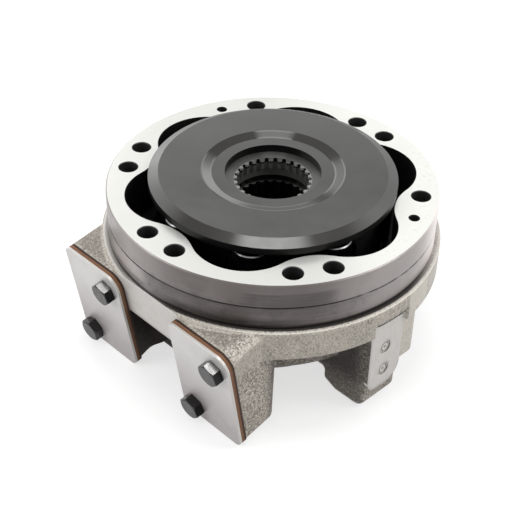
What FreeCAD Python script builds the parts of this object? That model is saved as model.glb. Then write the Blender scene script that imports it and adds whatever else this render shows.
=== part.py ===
import FreeCAD, Part
import math
import os

from FreeCAD import Placement, Rotation, Vector

# Radial piston drive motor of the bearingless kind, in millimetres.
# The origin is on the motor axis, in the top face of the cam ring, which bolts to the driven
# machine. +Z leaves that face, and the two port pads look towards -Y.

# Cam ring: twelve arcs that run into one another make six inward lobes
RING_RADIUS = 118.0
RING_HEIGHT = 35.9
RING_WALL = 12.3
LOBES = 6
LOBE_LIFT = 17.2
POCKET_ARC_SHARE = 0.35
RING_EDGE_CHAMFER = 0.8
SEAM_Z = -18.4
SEAM_WIDTH = 1.0
SEAM_DEPTH = 0.7

# Bolts and dowels through the ring stand in pairs, one each side of a lobe
BOLT_EDGE_DISTANCE = 13.1
BOLT_OFFSET_ANGLE = 7.47
BOLT_HOLE_DIAMETER = 13.5
BOLT_SEAT_DIAMETER = 20.0
DOWEL_DIAMETER = 8.0
DOWEL_CLEARANCE = 0.04
DOWEL_LENGTH = 34.0
DOWEL_TOP_Z = -15.0
HOLE_CHAMFER = 0.5

# Pistons and rollers
PISTONS = 8
FIRST_PISTON_ANGLE = 34.2
PISTON_Z = -18.0
PISTON_DIAMETER = 34.0
PISTON_CLEARANCE = 0.03
PISTON_CROWN_TO_AXIS = 24.5
PISTON_CROWN_CHAMFER = 4.5
PISTON_WRAP = 2.0
PISTON_SKIRT_CHAMFER = 1.5
PISTON_OIL_HOLE = 1.8
ROLLER_DIAMETER = 27.0
ROLLER_LENGTH = 30.0
ROLLER_CHAMFER = 1.2
ROLLER_TIP_CLEARANCE = 2.5
ROLLER_CLEARANCE = 0.04
SHELL_THICKNESS = 1.5
SHELL_INSET = 0.4
PISTON_RING_START = 5.6
PISTON_RING_WIDTH = 2.4
PISTON_RING_DEPTH = 1.6
PISTON_RING_CLEARANCE = 0.05
PISTON_RING_GAP = 0.6

# Cylinder block
BLOCK_TIP_CLEARANCE = 8.5
BLOCK_BOTTOM_Z = -45.0
DISC_TOP_Z = 10.8
DISC_TIP_CLEARANCE = 0.2
DISC_CHAMFER_WIDTH = 7.3
DISC_CHAMFER_DROP = 3.8
DISC_UNDERSIDE_Z = 2.0
RECESS_RADIUS = 51.1
RECESS_SLOPE_WIDTH = 7.7
RECESS_DEPTH = 2.0
PILOT_RADIUS = 34.2
PILOT_DEPTH = 5.8
LEDGE_DROP = 1.0
CYLINDER_BOTTOM_CLEARANCE = 2.0
ROLLER_SLOT_CLEARANCE = 0.35
CYLINDER_PORT_INSET = 3.0
CYLINDER_PORT_DIAMETER = 7.0

# Splined bore: 26 teeth of module 2 with 30 degree flanks, in two bands
SPLINE_TEETH = 26
SPLINE_MODULE = 2.0
SPLINE_ROOT_DIAMETER = 55.0
SPLINE_TIP_DIAMETER = 51.0
SPLINE_FLANK_ANGLE = 30.0
SPLINE_TOOTH_WIDTH = 2.68
SPLINE_UPPER_BAND = 8.0
SPLINE_RELIEF_LENGTH = 11.5
SPLINE_RELIEF_DEPTH = 0.6
SPLINE_EXIT_LENGTH = 4.0

# Rear case, cast in one piece
FLANGE_STEP = 4.5
FLANGE_THICKNESS = 24.1
FLANGE_ROUNDING = 2.5
DRUM_WALL = 13.0
DRUM_BOTTOM_Z = -95.0
DRUM_ROUNDING = 5.0
HUB_WALL = 5.5
HUB_BOTTOM_Z = -127.5
HUB_ROUNDING = 5.0
HUB_RECESS_EDGE = 15.5
HUB_RECESS_DEPTH = 3.0
BLOCK_POCKET_CLEARANCE = 3.0
BLOCK_POCKET_DEPTH = 1.0

# Port pads: a plane that leans in towards its foot, with two cover plates on it
PAD_TILT = 9.5
PAD_X = 55.9
PAD_WIDTH = 57.8
PAD_HEIGHT = 87.7
PAD_TOP_Z = -41.3
PAD_REACH = 1.2
PAD_BIG_CORNER = 11.0
PAD_CORNER = 6.0
PAD_DEPTH = 92.0
COVER_THICKNESS = 2.0
GASKET_THICKNESS = 2.3
LINER_THICKNESS = 1.7
COVER_HOLE_CLEARANCE = 0.5
COVER_EDGE_ROUNDING = 0.5
PORT_DROP = 1.8
PORT_BORE_DIAMETER = 32.0
PORT_BORE_DEPTH = 36.0
PORT_PASSAGE_DIAMETER = 18.0
PORT_PASSAGE_DEPTH = 80.0
PORT_PATTERN_HEIGHT = 58.7
PORT_PATTERN_WIDTH = 30.2
COVER_BOLT_DIAMETER = 11.1
COVER_BOLT_CORE_DIAMETER = 9.2
COVER_BOLT_LENGTH = 25.0
TAPPED_HOLE_DIAMETER = 9.35
TAPPED_HOLE_DEPTH = 27.0
BOLT_HEAD_ACROSS_FLATS = 15.9
BOLT_HEAD_HEIGHT = 6.7
BOLT_WASHER_FACE = 0.4
BOLT_HEAD_BEVEL_ANGLE = 30.0
BOLT_TURNS = ((22.0, 43.0), (43.0, 43.0))

# Arms that carry the pads, and the web between them
ARM_OUTER_X = 84.3
ARM_OUTER_BACK_X = 82.5
ARM_OUTER_BACK_Y = -78.0
ARM_INNER_X = 28.0
ARM_INNER_BACK_X = 33.5
ARM_INNER_BACK_Y = -92.0
ARM_HEEL_X = 50.0
ARM_HEEL_Y = -43.0
ARM_BACK_ROUNDING = 7.0
ARM_BOTTOM_ROUNDING = 5.0
ARM_SOLE_REACH = 12.3
KNEE_RADIUS = 8.0
KNEE_OVERLAP = 1.0
WEB_FRONT_Y = -80.0
WEB_ROUNDING = 11.0
WEB_BOTTOM_Z = -123.5
STRIP_BOTTOM_Z = -71.0
STRIP_BACK_Y = -88.0
STRIP_OVERLAP = 3.0
CAST_TOP_DROP = 0.4

# Valve boss with its leg and its machined face, on the +X side
TAB_STEP = 4.3
TAB_FRONT_Y = -20.0
TAB_BACK_Y = 13.0
TAB_TOP_DROP = 12.1
TAB_DEPTH = 14.2
TAB_BOTTOM_Z = -112.5
TAB_FRONT_CORNER = 10.0
TAB_BACK_CORNER = 14.0
LEG_SETBACK = 2.2
LEG_FRONT_Y = -20.6
LEG_BACK_Y = 12.8
LEG_BOTTOM_Z = -128.0
LEG_TOE_ROUNDING = 9.0
LEG_FOOT_LENGTH = 27.0
LEG_HEEL_Z = -123.0
LEG_HEEL_ROUNDING = 4.0
LEG_LENGTH = 38.5
LEG_ARCH_ROUNDING = 3.0
LEG_ARCH_Z = -113.5
LEG_EDGE_ROUNDING = 2.5
BOSS_SETBACK = 0.7
BOSS_BACK_Y = 28.0
BOSS_BOTTOM_Z = -105.0
BOSS_ROUNDING = 10.0
BOSS_INNER_X = 55.0
PLUG_DIAMETER = 9.8
PLUG_LENGTH = 8.0
PLUG_RECESS = 0.5
PLUG_CLEARANCE = 0.1
PLUG_Y = -4.1
PLUG_TOP_Z = -76.9
PLUG_PITCH = 20.4
GALLERY_DIAMETER = 7.0
GALLERY_LENGTH = 45.0

# Distributor and what seals, drives and loads it
DISTRIBUTOR_STEPS = (17.0, 11.0, 5.0)
DISTRIBUTOR_STEP_Z = (-58.0, -76.0, -94.0)
DISTRIBUTOR_FACE_GAP = 0.05
DISTRIBUTOR_CLEARANCE = 0.05
DISTRIBUTOR_BORE_INSET = 19.0
DISTRIBUTOR_GALLERY_STEPS = (2.0, 0.0)
DISTRIBUTOR_GALLERY_HEIGHT = 5.0
DISTRIBUTOR_GALLERY_SETBACK = 2.0
SEAL_WIDTH = 3.0
SEAL_DEPTH = 2.6
SEAL_SETBACK = 4.5
SEAL_CLEARANCE = 0.05
SPRINGS = 6
SPRING_CIRCLE_INSET = 11.0
SPRING_MEAN_RADIUS = 3.0
SPRING_WIRE_WIDTH = 1.6
SPRING_WIRE_HEIGHT = 1.2
SPRING_TURNS = 4.0
SPRING_POCKET_DEPTH = 7.0
SPRING_POCKET_DIAMETER = 9.0
SPRING_ROOM = 6.0
DRIVE_PINS = 2
DRIVE_PIN_DIAMETER = 6.0
DRIVE_PIN_LENGTH = 16.0
DRIVE_PIN_SEAT = 6.0
DRIVE_PIN_CLEARANCE = 0.05

# Ring seal between the cam ring and the case
RING_SEAL_EDGE = 3.3
RING_SEAL_SECTION = 2.0
RING_SEAL_GROOVE_WIDTH = 2.6
RING_SEAL_CLEARANCE = 0.04

# Case drain port, in the flange rim at the back
DRAIN_ANGLE = 120.0
DRAIN_DROP = 12.1
DRAIN_SPOT_DEPTH = 3.0
DRAIN_SPOT_DIAMETER = 21.0
DRAIN_THREAD_DIAMETER = 13.2
DRAIN_THREAD_DEPTH = 14.0
DRAIN_BORE_DIAMETER = 8.0
DRAIN_HEAD_DIAMETER = 18.6
DRAIN_HEAD_HEIGHT = 4.5
DRAIN_SOCKET_FLATS = 6.0
DRAIN_SOCKET_DEPTH = 4.5
DRAIN_WASHER_THICKNESS = 1.5
DRAIN_CLEARANCE = 0.1

# How far a cutter runs past the casting
CUTTER_REACH = 40.0

# Sizes that follow from those above
POCKET_RADIUS = RING_RADIUS - RING_WALL
POCKET_ARC_RADIUS = POCKET_RADIUS * POCKET_ARC_SHARE
LOBE_TIP_RADIUS = POCKET_RADIUS - LOBE_LIFT
BOLT_CIRCLE_RADIUS = RING_RADIUS - BOLT_EDGE_DISTANCE
RING_SEAL_RADIUS = RING_RADIUS - RING_SEAL_EDGE
BLOCK_RADIUS = LOBE_TIP_RADIUS - BLOCK_TIP_CLEARANCE
DISC_RADIUS = LOBE_TIP_RADIUS - DISC_TIP_CLEARANCE
FLANGE_RADIUS = RING_RADIUS + FLANGE_STEP
DRUM_RADIUS = BLOCK_RADIUS + DRUM_WALL
PAD_TOP_Y = -FLANGE_RADIUS - PAD_REACH
TAB_X = FLANGE_RADIUS - TAB_STEP
LEG_X = TAB_X - LEG_SETBACK
LEG_HEEL_X = LEG_X - LEG_FOOT_LENGTH
LEG_ARCH_X = LEG_X - LEG_LENGTH
BOSS_X = TAB_X - BOSS_SETBACK
FLANGE_BOTTOM_Z = -RING_HEIGHT - FLANGE_THICKNESS
CAST_TOP_Z = -RING_HEIGHT - CAST_TOP_DROP
TAB_TOP_Z = -RING_HEIGHT - TAB_TOP_DROP
DRAIN_Z = -RING_HEIGHT - DRAIN_DROP
PAD_BOTTOM_Z = PAD_TOP_Z - PAD_HEIGHT * math.cos(math.radians(PAD_TILT))
DRAIN_FACE_RADIUS = FLANGE_RADIUS - DRAIN_SPOT_DEPTH
HALF_LOBE_ANGLE = 180.0 / LOBES
PISTON_STEP_ANGLE = 360.0 / PISTONS
PISTON_BORE_RADIUS = PISTON_DIAMETER / 2
PISTON_BODY_RADIUS = PISTON_BORE_RADIUS - PISTON_CLEARANCE
ROLLER_RADIUS = ROLLER_DIAMETER / 2
ROLLER_AXIS_RADIUS = LOBE_TIP_RADIUS - ROLLER_RADIUS - ROLLER_TIP_CLEARANCE
PISTON_CROWN_RADIUS = ROLLER_AXIS_RADIUS - PISTON_CROWN_TO_AXIS
CYLINDER_BOTTOM_RADIUS = PISTON_CROWN_RADIUS - CYLINDER_BOTTOM_CLEARANCE
CYLINDER_PORT_RADIUS = CYLINDER_BOTTOM_RADIUS + CYLINDER_PORT_INSET
DISTRIBUTOR_RADII = tuple(CYLINDER_PORT_RADIUS + step for step in DISTRIBUTOR_STEPS)
DISTRIBUTOR_BORE_RADIUS = CYLINDER_PORT_RADIUS - DISTRIBUTOR_BORE_INSET
DISTRIBUTOR_GALLERY_RADII = tuple(CYLINDER_PORT_RADIUS + step
                                  for step in DISTRIBUTOR_GALLERY_STEPS)
SPRING_CIRCLE_RADIUS = CYLINDER_PORT_RADIUS - SPRING_CIRCLE_INSET
HUB_RADIUS = DISTRIBUTOR_RADII[-1] + HUB_WALL
HUB_RECESS_RADIUS = HUB_RADIUS - HUB_RECESS_EDGE
SHELL_INNER_RADIUS = ROLLER_RADIUS + ROLLER_CLEARANCE
SHELL_OUTER_RADIUS = SHELL_INNER_RADIUS + SHELL_THICKNESS
RECESS_FLOOR_Z = DISC_TOP_Z - RECESS_DEPTH
PILOT_FLOOR_Z = RECESS_FLOOR_Z - PILOT_DEPTH
SPLINE_TOP_Z = PILOT_FLOOR_Z - LEDGE_DROP
SPLINE_ROOT_RADIUS = SPLINE_ROOT_DIAMETER / 2
SPLINE_TIP_RADIUS = SPLINE_TIP_DIAMETER / 2
SPLINE_RELIEF_RADIUS = SPLINE_ROOT_RADIUS + SPLINE_RELIEF_DEPTH
BLOCK_POCKET_FLOOR_Z = BLOCK_BOTTOM_Z - BLOCK_POCKET_DEPTH
DISTRIBUTOR_TOP_Z = BLOCK_BOTTOM_Z - DISTRIBUTOR_FACE_GAP
DISTRIBUTOR_BOTTOM_Z = DISTRIBUTOR_STEP_Z[-1]
SPRING_FLOOR_Z = DISTRIBUTOR_BOTTOM_Z - SPRING_ROOM
PORT_STACK = COVER_THICKNESS + GASKET_THICKNESS + LINER_THICKNESS


def polar(radius, degrees, z=0.0):
    angle = math.radians(degrees)
    return Vector(radius * math.cos(angle), radius * math.sin(angle), z)


def turned(shape, degrees):
    """A copy of the shape, turned about the motor axis."""
    return shape.copy().rotate(Vector(0, 0, 0), Vector(0, 0, 1), degrees)


def cylinder(radius, low, high, at=Vector(0, 0, 0)):
    return Part.makeCylinder(radius, high - low, at + Vector(0, 0, low))


def box(low, high):
    size = [high[i] - low[i] for i in range(3)]
    return Part.makeBox(size[0], size[1], size[2], Vector(*low))


def revolved(points):
    """A solid of revolution about the motor axis, from (radius, z) points."""
    outline = [Vector(radius, 0, z) for radius, z in points]
    face = Part.Face(Part.makePolygon(outline + outline[:1]))
    return face.revolve(Vector(0, 0, 0), Vector(0, 0, 1), 360)


def rounded_outline(corners):
    """A closed wire in the XY plane through (x, y, radius) corners, each corner rounded."""
    stops = []
    for i, (x, y, radius) in enumerate(corners):
        here = Vector(x, y, 0)
        before = corners[i - 1]
        after = corners[(i + 1) % len(corners)]
        back = (Vector(before[0], before[1], 0) - here).normalize()
        ahead = (Vector(after[0], after[1], 0) - here).normalize()
        half = back.getAngle(ahead) / 2
        setback = radius / math.tan(half)
        inward = (back + ahead).normalize()
        middle = here + inward * (radius / math.sin(half) - radius)
        stops.append((here + back * setback, middle, here + ahead * setback))
    edges = []
    for i, (start, middle, end) in enumerate(stops):
        if (end - start).Length > 1e-6:
            edges.append(Part.Arc(start, middle, end).toShape())
        following = stops[(i + 1) % len(stops)][0]
        if (following - end).Length > 1e-6:
            edges.append(Part.LineSegment(end, following).toShape())
    return Part.Wire(edges)


def prism(wire, low, high):
    """The flat wire at z 0, swept from low to high."""
    face = Part.Face(wire)
    face.translate(Vector(0, 0, low))
    return face.extrude(Vector(0, 0, high - low))


def along_y(corners, front, back):
    """A prism whose (x, z, radius) outline is swept from y = front to y = back."""
    shape = prism(rounded_outline(corners), -back, -front)
    return shape.rotate(Vector(0, 0, 0), Vector(1, 0, 0), 90)


def along_x(corners, inner, outer):
    """A prism whose (y, z, radius) outline is swept from x = inner to x = outer."""
    shape = prism(rounded_outline(corners), inner, outer)
    shape.rotate(Vector(0, 0, 0), Vector(1, 0, 0), 90)
    return shape.rotate(Vector(0, 0, 0), Vector(0, 0, 1), 90)


def fused(shapes):
    return shapes[0].multiFuse(shapes[1:]).removeSplitter()


def on_pad(shape, side, proud):
    """Moves a shape from the flat pad frame to a pad: x across, y up the slope, z outward.

    side is -1 or 1, and proud is the height above the machined face of the casting."""
    tilt = math.radians(PAD_TILT)
    outward = Vector(0, -math.cos(tilt), -math.sin(tilt))
    down = Vector(0, math.sin(tilt), -math.cos(tilt))
    top = Vector(side * PAD_X, PAD_TOP_Y, PAD_TOP_Z)
    centre = top + down * (PAD_HEIGHT / 2) + outward * (proud - PORT_STACK)
    moved = shape.copy()
    moved.Placement = Placement(centre, Rotation(Vector(1, 0, 0), 90 + PAD_TILT)).multiply(
        shape.Placement)
    return moved


def hole_angles():
    """Angles of the bolt holes and of the two dowel holes, one hole each side of a lobe."""
    lobe_axes = [HALF_LOBE_ANGLE * (2 * i + 1) for i in range(LOBES)]
    dowels = [lobe_axes[0] - BOLT_OFFSET_ANGLE, 180 - lobe_axes[0] + BOLT_OFFSET_ANGLE]
    every = [axis + side * BOLT_OFFSET_ANGLE for axis in lobe_axes for side in (-1, 1)]
    bolts = [angle for angle in every if min(abs(angle - dowel) for dowel in dowels) > 1e-6]
    return bolts, dowels


def flange_holes(low, high):
    """Cutters for the bolt and dowel holes between two heights."""
    bolts, dowels = hole_angles()
    cutters = [cylinder(BOLT_HOLE_DIAMETER / 2, low, high, polar(BOLT_CIRCLE_RADIUS, angle))
               for angle in bolts]
    cutters += [cylinder(DOWEL_DIAMETER / 2, low, high, polar(BOLT_CIRCLE_RADIUS, angle))
                for angle in dowels]
    return cutters


def bolt_seats():
    """Cutters that keep the knees under the flange clear of the bolt heads."""
    places = [polar(BOLT_CIRCLE_RADIUS, angle) for angle in hole_angles()[0]]
    low = FLANGE_BOTTOM_Z - KNEE_RADIUS - KNEE_OVERLAP
    return [cylinder(BOLT_SEAT_DIAMETER / 2, low, FLANGE_BOTTOM_Z, place) for place in places
            if abs(place.x) > ARM_INNER_X]


def cam_contour():
    """The track the rollers run on, as arcs about pocket centres and lobe centres in turn."""
    pocket_centre = POCKET_RADIUS - POCKET_ARC_RADIUS
    slant = math.cos(math.radians(HALF_LOBE_ANGLE))
    excess = pocket_centre ** 2 + LOBE_TIP_RADIUS ** 2 - POCKET_ARC_RADIUS ** 2
    lobe_arc_radius = (excess - 2 * pocket_centre * LOBE_TIP_RADIUS * slant) / (
        2 * (POCKET_ARC_RADIUS - LOBE_TIP_RADIUS + pocket_centre * slant))
    lobe_centre = LOBE_TIP_RADIUS + lobe_arc_radius

    def meeting(pocket_angle, lobe_angle):
        start = polar(pocket_centre, pocket_angle)
        way = (polar(lobe_centre, lobe_angle) - start).normalize()
        return start + way * POCKET_ARC_RADIUS

    edges = []
    for i in range(LOBES):
        pocket = 2 * HALF_LOBE_ANGLE * i
        lobe = pocket + HALF_LOBE_ANGLE
        into_pocket = meeting(pocket, pocket - HALF_LOBE_ANGLE)
        out_of_pocket = meeting(pocket, lobe)
        past_lobe = meeting(pocket + 2 * HALF_LOBE_ANGLE, lobe)
        edges.append(Part.Arc(into_pocket, polar(POCKET_RADIUS, pocket), out_of_pocket).toShape())
        edges.append(Part.Arc(out_of_pocket, polar(LOBE_TIP_RADIUS, lobe), past_lobe).toShape())
    return Part.Wire(edges)


def make_cam_ring():
    low = -RING_HEIGHT
    body = revolved([(0, low), (RING_RADIUS, low), (RING_RADIUS, SEAM_Z - SEAM_WIDTH / 2),
                     (RING_RADIUS - SEAM_DEPTH, SEAM_Z),
                     (RING_RADIUS, SEAM_Z + SEAM_WIDTH / 2), (RING_RADIUS, -RING_EDGE_CHAMFER),
                     (RING_RADIUS - RING_EDGE_CHAMFER, 0), (0, 0)])
    cutters = [prism(cam_contour(), low - 1, 1)] + flange_holes(low - 1, 1)
    bolts = hole_angles()[0]
    mouth = BOLT_HOLE_DIAMETER / 2
    cutters += [Part.makeCone(mouth, mouth + HOLE_CHAMFER, HOLE_CHAMFER,
                              polar(BOLT_CIRCLE_RADIUS, angle, -HOLE_CHAMFER))
                for angle in bolts]
    return body.cut(cutters)


def piston_place(shape, index):
    """Turns a piece modelled on the +X axis to the place of piston number index."""
    return turned(shape, FIRST_PISTON_ANGLE + index * PISTON_STEP_ANGLE)


def radial_cylinder(radius, inner, outer):
    return Part.makeCylinder(radius, outer - inner, Vector(inner, 0, PISTON_Z), Vector(1, 0, 0))


def upright_cylinder(radius, length):
    """A cylinder on the roller's axis, centred on the height of the pistons."""
    start = Vector(ROLLER_AXIS_RADIUS, 0, PISTON_Z - length / 2)
    return Part.makeCylinder(radius, length, start)


def spline_wire():
    """Outline of the splined bore: each tooth has straight flanks, a tip arc and a root arc."""
    pitch_radius = SPLINE_MODULE * SPLINE_TEETH / 2
    slope = math.tan(math.radians(SPLINE_FLANK_ANGLE))

    def half_angle(radius):
        half_width = SPLINE_TOOTH_WIDTH / 2 + (radius - pitch_radius) * slope
        return math.degrees(half_width / radius)

    tip = half_angle(SPLINE_TIP_RADIUS)
    root = half_angle(SPLINE_ROOT_RADIUS)
    step = 360.0 / SPLINE_TEETH
    edges = []
    for i in range(SPLINE_TEETH):
        axis = i * step
        tip_start = polar(SPLINE_TIP_RADIUS, axis - tip)
        tip_end = polar(SPLINE_TIP_RADIUS, axis + tip)
        root_start = polar(SPLINE_ROOT_RADIUS, axis + root)
        root_end = polar(SPLINE_ROOT_RADIUS, axis + step - root)
        next_tip = polar(SPLINE_TIP_RADIUS, axis + step - tip)
        edges.append(Part.Arc(tip_start, polar(SPLINE_TIP_RADIUS, axis), tip_end).toShape())
        edges.append(Part.LineSegment(tip_end, root_start).toShape())
        edges.append(Part.Arc(root_start, polar(SPLINE_ROOT_RADIUS, axis + step / 2),
                              root_end).toShape())
        edges.append(Part.LineSegment(root_end, next_tip).toShape())
    return Part.Wire(edges)


def roller_slot():
    """Cutter that lets the ends of a roller, longer than its bore is wide, sink into the block."""
    half_width = ROLLER_RADIUS + ROLLER_SLOT_CLEARANCE
    length = ROLLER_LENGTH + 2 * ROLLER_SLOT_CLEARANCE
    mouth = box((ROLLER_AXIS_RADIUS, -half_width, PISTON_Z - length / 2),
                (DISC_RADIUS, half_width, PISTON_Z + length / 2))
    return upright_cylinder(half_width, length).fuse(mouth)


def make_cylinder_block():
    disc_edge_z = DISC_TOP_Z - DISC_CHAMFER_DROP
    relief_top = SPLINE_TOP_Z - SPLINE_UPPER_BAND
    relief_bottom = relief_top - SPLINE_RELIEF_LENGTH
    exit_top = BLOCK_BOTTOM_Z + SPLINE_EXIT_LENGTH
    inner = SPLINE_TIP_RADIUS
    body = revolved([
        (RECESS_RADIUS, DISC_TOP_Z), (DISC_RADIUS - DISC_CHAMFER_WIDTH, DISC_TOP_Z),
        (DISC_RADIUS, disc_edge_z), (DISC_RADIUS, DISC_UNDERSIDE_Z),
        (BLOCK_RADIUS, DISC_UNDERSIDE_Z), (BLOCK_RADIUS, BLOCK_BOTTOM_Z + 1),
        (BLOCK_RADIUS - 1, BLOCK_BOTTOM_Z), (SPLINE_RELIEF_RADIUS + 1, BLOCK_BOTTOM_Z),
        (SPLINE_RELIEF_RADIUS, BLOCK_BOTTOM_Z + 1), (SPLINE_RELIEF_RADIUS, exit_top),
        (inner, exit_top), (inner, relief_bottom), (SPLINE_RELIEF_RADIUS, relief_bottom),
        (SPLINE_RELIEF_RADIUS, relief_top), (inner, relief_top), (inner, SPLINE_TOP_Z),
        (SPLINE_ROOT_RADIUS, SPLINE_TOP_Z), (PILOT_RADIUS, PILOT_FLOOR_Z),
        (PILOT_RADIUS, RECESS_FLOOR_Z), (RECESS_RADIUS - RECESS_SLOPE_WIDTH, RECESS_FLOOR_Z)])
    cutters = [prism(spline_wire(), BLOCK_BOTTOM_Z - 1, PILOT_FLOOR_Z)]
    bore = radial_cylinder(PISTON_BORE_RADIUS, CYLINDER_BOTTOM_RADIUS, DISC_RADIUS)
    port = cylinder(CYLINDER_PORT_DIAMETER / 2, BLOCK_BOTTOM_Z - 1, PISTON_Z,
                    Vector(CYLINDER_PORT_RADIUS, 0, 0))
    slot = roller_slot()
    for i in range(PISTONS):
        cutters += [piston_place(shape, i) for shape in (bore, port, slot)]
    return body.cut(cutters)


def piston_ring_start():
    return PISTON_CROWN_RADIUS + PISTON_RING_START


def make_piston():
    skirt_end = ROLLER_AXIS_RADIUS + PISTON_WRAP
    chamfer = PISTON_CROWN_CHAMFER
    body = radial_cylinder(PISTON_BODY_RADIUS, PISTON_CROWN_RADIUS + chamfer,
                           skirt_end - PISTON_SKIRT_CHAMFER)
    crown = Part.makeCone(PISTON_BODY_RADIUS - chamfer, PISTON_BODY_RADIUS, chamfer,
                          Vector(PISTON_CROWN_RADIUS, 0, PISTON_Z), Vector(1, 0, 0))
    skirt = Part.makeCone(PISTON_BODY_RADIUS, PISTON_BODY_RADIUS - PISTON_SKIRT_CHAMFER,
                          PISTON_SKIRT_CHAMFER,
                          Vector(skirt_end - PISTON_SKIRT_CHAMFER, 0, PISTON_Z), Vector(1, 0, 0))
    groove_end = piston_ring_start() + PISTON_RING_WIDTH
    groove = radial_cylinder(PISTON_BORE_RADIUS + 1, piston_ring_start(), groove_end).cut(
        radial_cylinder(PISTON_BODY_RADIUS - PISTON_RING_DEPTH, piston_ring_start(), groove_end))
    seat = upright_cylinder(SHELL_OUTER_RADIUS, PISTON_DIAMETER + 2)
    oil_hole = radial_cylinder(PISTON_OIL_HOLE / 2, PISTON_CROWN_RADIUS - 1, ROLLER_AXIS_RADIUS)
    return fused([crown, body, skirt]).cut([seat, groove, oil_hole])


def make_roller_shell():
    """Half bearing shell that lines the seat of the piston behind the roller."""
    length = PISTON_DIAMETER
    ring = upright_cylinder(SHELL_OUTER_RADIUS, length).cut(
        upright_cylinder(SHELL_INNER_RADIUS, length + 2))
    half = box((0, -PISTON_DIAMETER, PISTON_Z - length),
               (ROLLER_AXIS_RADIUS, PISTON_DIAMETER, PISTON_Z + length))
    within = radial_cylinder(PISTON_BODY_RADIUS - SHELL_INSET, 0, ROLLER_AXIS_RADIUS)
    oil_hole = radial_cylinder(PISTON_OIL_HOLE / 2, PISTON_CROWN_RADIUS, ROLLER_AXIS_RADIUS)
    return ring.common(half).common(within).cut(oil_hole)


def make_piston_ring():
    start = piston_ring_start() + PISTON_RING_CLEARANCE
    end = piston_ring_start() + PISTON_RING_WIDTH - PISTON_RING_CLEARANCE
    inner = PISTON_BODY_RADIUS - PISTON_RING_DEPTH + PISTON_RING_CLEARANCE
    ring = radial_cylinder(PISTON_BODY_RADIUS, start, end).cut(
        radial_cylinder(inner, start - 1, end + 1))
    gap = box((start - 1, -PISTON_RING_GAP / 2, PISTON_Z),
              (end + 1, PISTON_RING_GAP / 2, PISTON_Z + PISTON_DIAMETER))
    return ring.cut(gap)


def make_roller():
    bottom = PISTON_Z - ROLLER_LENGTH / 2
    top = PISTON_Z + ROLLER_LENGTH / 2
    inset = ROLLER_RADIUS - ROLLER_CHAMFER
    roller = revolved([(0, bottom), (inset, bottom), (ROLLER_RADIUS, bottom + ROLLER_CHAMFER),
                       (ROLLER_RADIUS, top - ROLLER_CHAMFER), (inset, top), (0, top)])
    roller.translate(Vector(ROLLER_AXIS_RADIUS, 0, 0))
    return roller


def pad_wire():
    """Outline of a port pad and of the plates on it, with one large corner."""
    half_width = PAD_WIDTH / 2
    half_height = PAD_HEIGHT / 2
    return rounded_outline([(-half_width, -half_height, PAD_CORNER),
                            (half_width, -half_height, PAD_CORNER),
                            (half_width, half_height, PAD_BIG_CORNER),
                            (-half_width, half_height, PAD_CORNER)])


def port_centre():
    """Where the port's axis meets the pad: a little below the middle of it."""
    return Vector(0, -PORT_DROP, 0)


def port_pattern():
    """Centres of the four threaded holes round a port, in the pad frame."""
    across = PORT_PATTERN_WIDTH / 2
    up = PORT_PATTERN_HEIGHT / 2
    return [port_centre() + Vector(i * across, j * up, 0) for i in (-1, 1) for j in (-1, 1)]


def cover_bolt_places():
    """The two corners of the pattern that the shipping cover uses."""
    return [place for place in port_pattern() if place.x * place.y > 0]


def port_cutters(side):
    bore = on_pad(cylinder(PORT_BORE_DIAMETER / 2, -PORT_BORE_DEPTH, 1, port_centre()), side, 0)
    threads = [on_pad(cylinder(TAPPED_HOLE_DIAMETER / 2, -TAPPED_HOLE_DEPTH, 1, place), side, 0)
               for place in port_pattern()]
    passage = cylinder(PORT_PASSAGE_DIAMETER / 2, -PORT_PASSAGE_DEPTH, 0, port_centre())
    return [bore, on_pad(passage, side, 0)] + threads


def make_knee():
    """Hollow rounding where the outer wall of the +X arm meets the underside of the flange."""
    start = Vector(ARM_OUTER_X, PAD_TOP_Y, 0)
    corner = Vector(ARM_OUTER_BACK_X, ARM_OUTER_BACK_Y, 0)
    end = Vector(ARM_HEEL_X, ARM_HEEL_Y, 0)
    into = (start - corner).normalize()
    out = (end - corner).normalize()
    half = into.getAngle(out) / 2
    setback = ARM_BACK_ROUNDING / math.tan(half)
    middle = corner + (into + out).normalize() * (
        ARM_BACK_ROUNDING / math.sin(half) - ARM_BACK_ROUNDING)
    path = Part.Wire([Part.LineSegment(start, corner + into * setback).toShape(),
                      Part.Arc(corner + into * setback, middle, corner + out * setback).toShape(),
                      Part.LineSegment(corner + out * setback, end).toShape()])
    path.translate(Vector(0, 0, FLANGE_BOTTOM_Z))
    across = Vector(-into.y, into.x, 0)
    if across.x < 0:
        across = across * -1

    def at(outward, z):
        return start + across * outward + Vector(0, 0, FLANGE_BOTTOM_Z + z)

    reach, lap = KNEE_RADIUS, KNEE_OVERLAP
    bend = reach * (1 - math.sqrt(0.5))
    section = Part.Wire([
        Part.LineSegment(at(-lap, -reach), at(-lap, lap)).toShape(),
        Part.LineSegment(at(-lap, lap), at(reach, lap)).toShape(),
        Part.LineSegment(at(reach, lap), at(reach, 0)).toShape(),
        Part.Arc(at(reach, 0), at(bend, -bend), at(0, -reach)).toShape(),
        Part.LineSegment(at(0, -reach), at(-lap, -reach)).toShape()])
    knee = path.makePipeShell([section], True, True)
    inner = FLANGE_RADIUS - FLANGE_ROUNDING
    return knee.common(cylinder(inner, FLANGE_BOTTOM_Z - reach - lap, FLANGE_BOTTOM_Z + lap))


def is_arm_sole(box):
    """Whether an edge's box lies along the foot of an arm's back wall."""
    across = min(abs(box.XMin), abs(box.XMax))
    return (across > ARM_HEEL_X - 1 and box.ZMax < PAD_BOTTOM_Z + ARM_SOLE_REACH
            and box.YMin > ARM_OUTER_BACK_Y - ARM_BACK_ROUNDING and box.YMax < ARM_HEEL_Y + 1)


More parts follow.
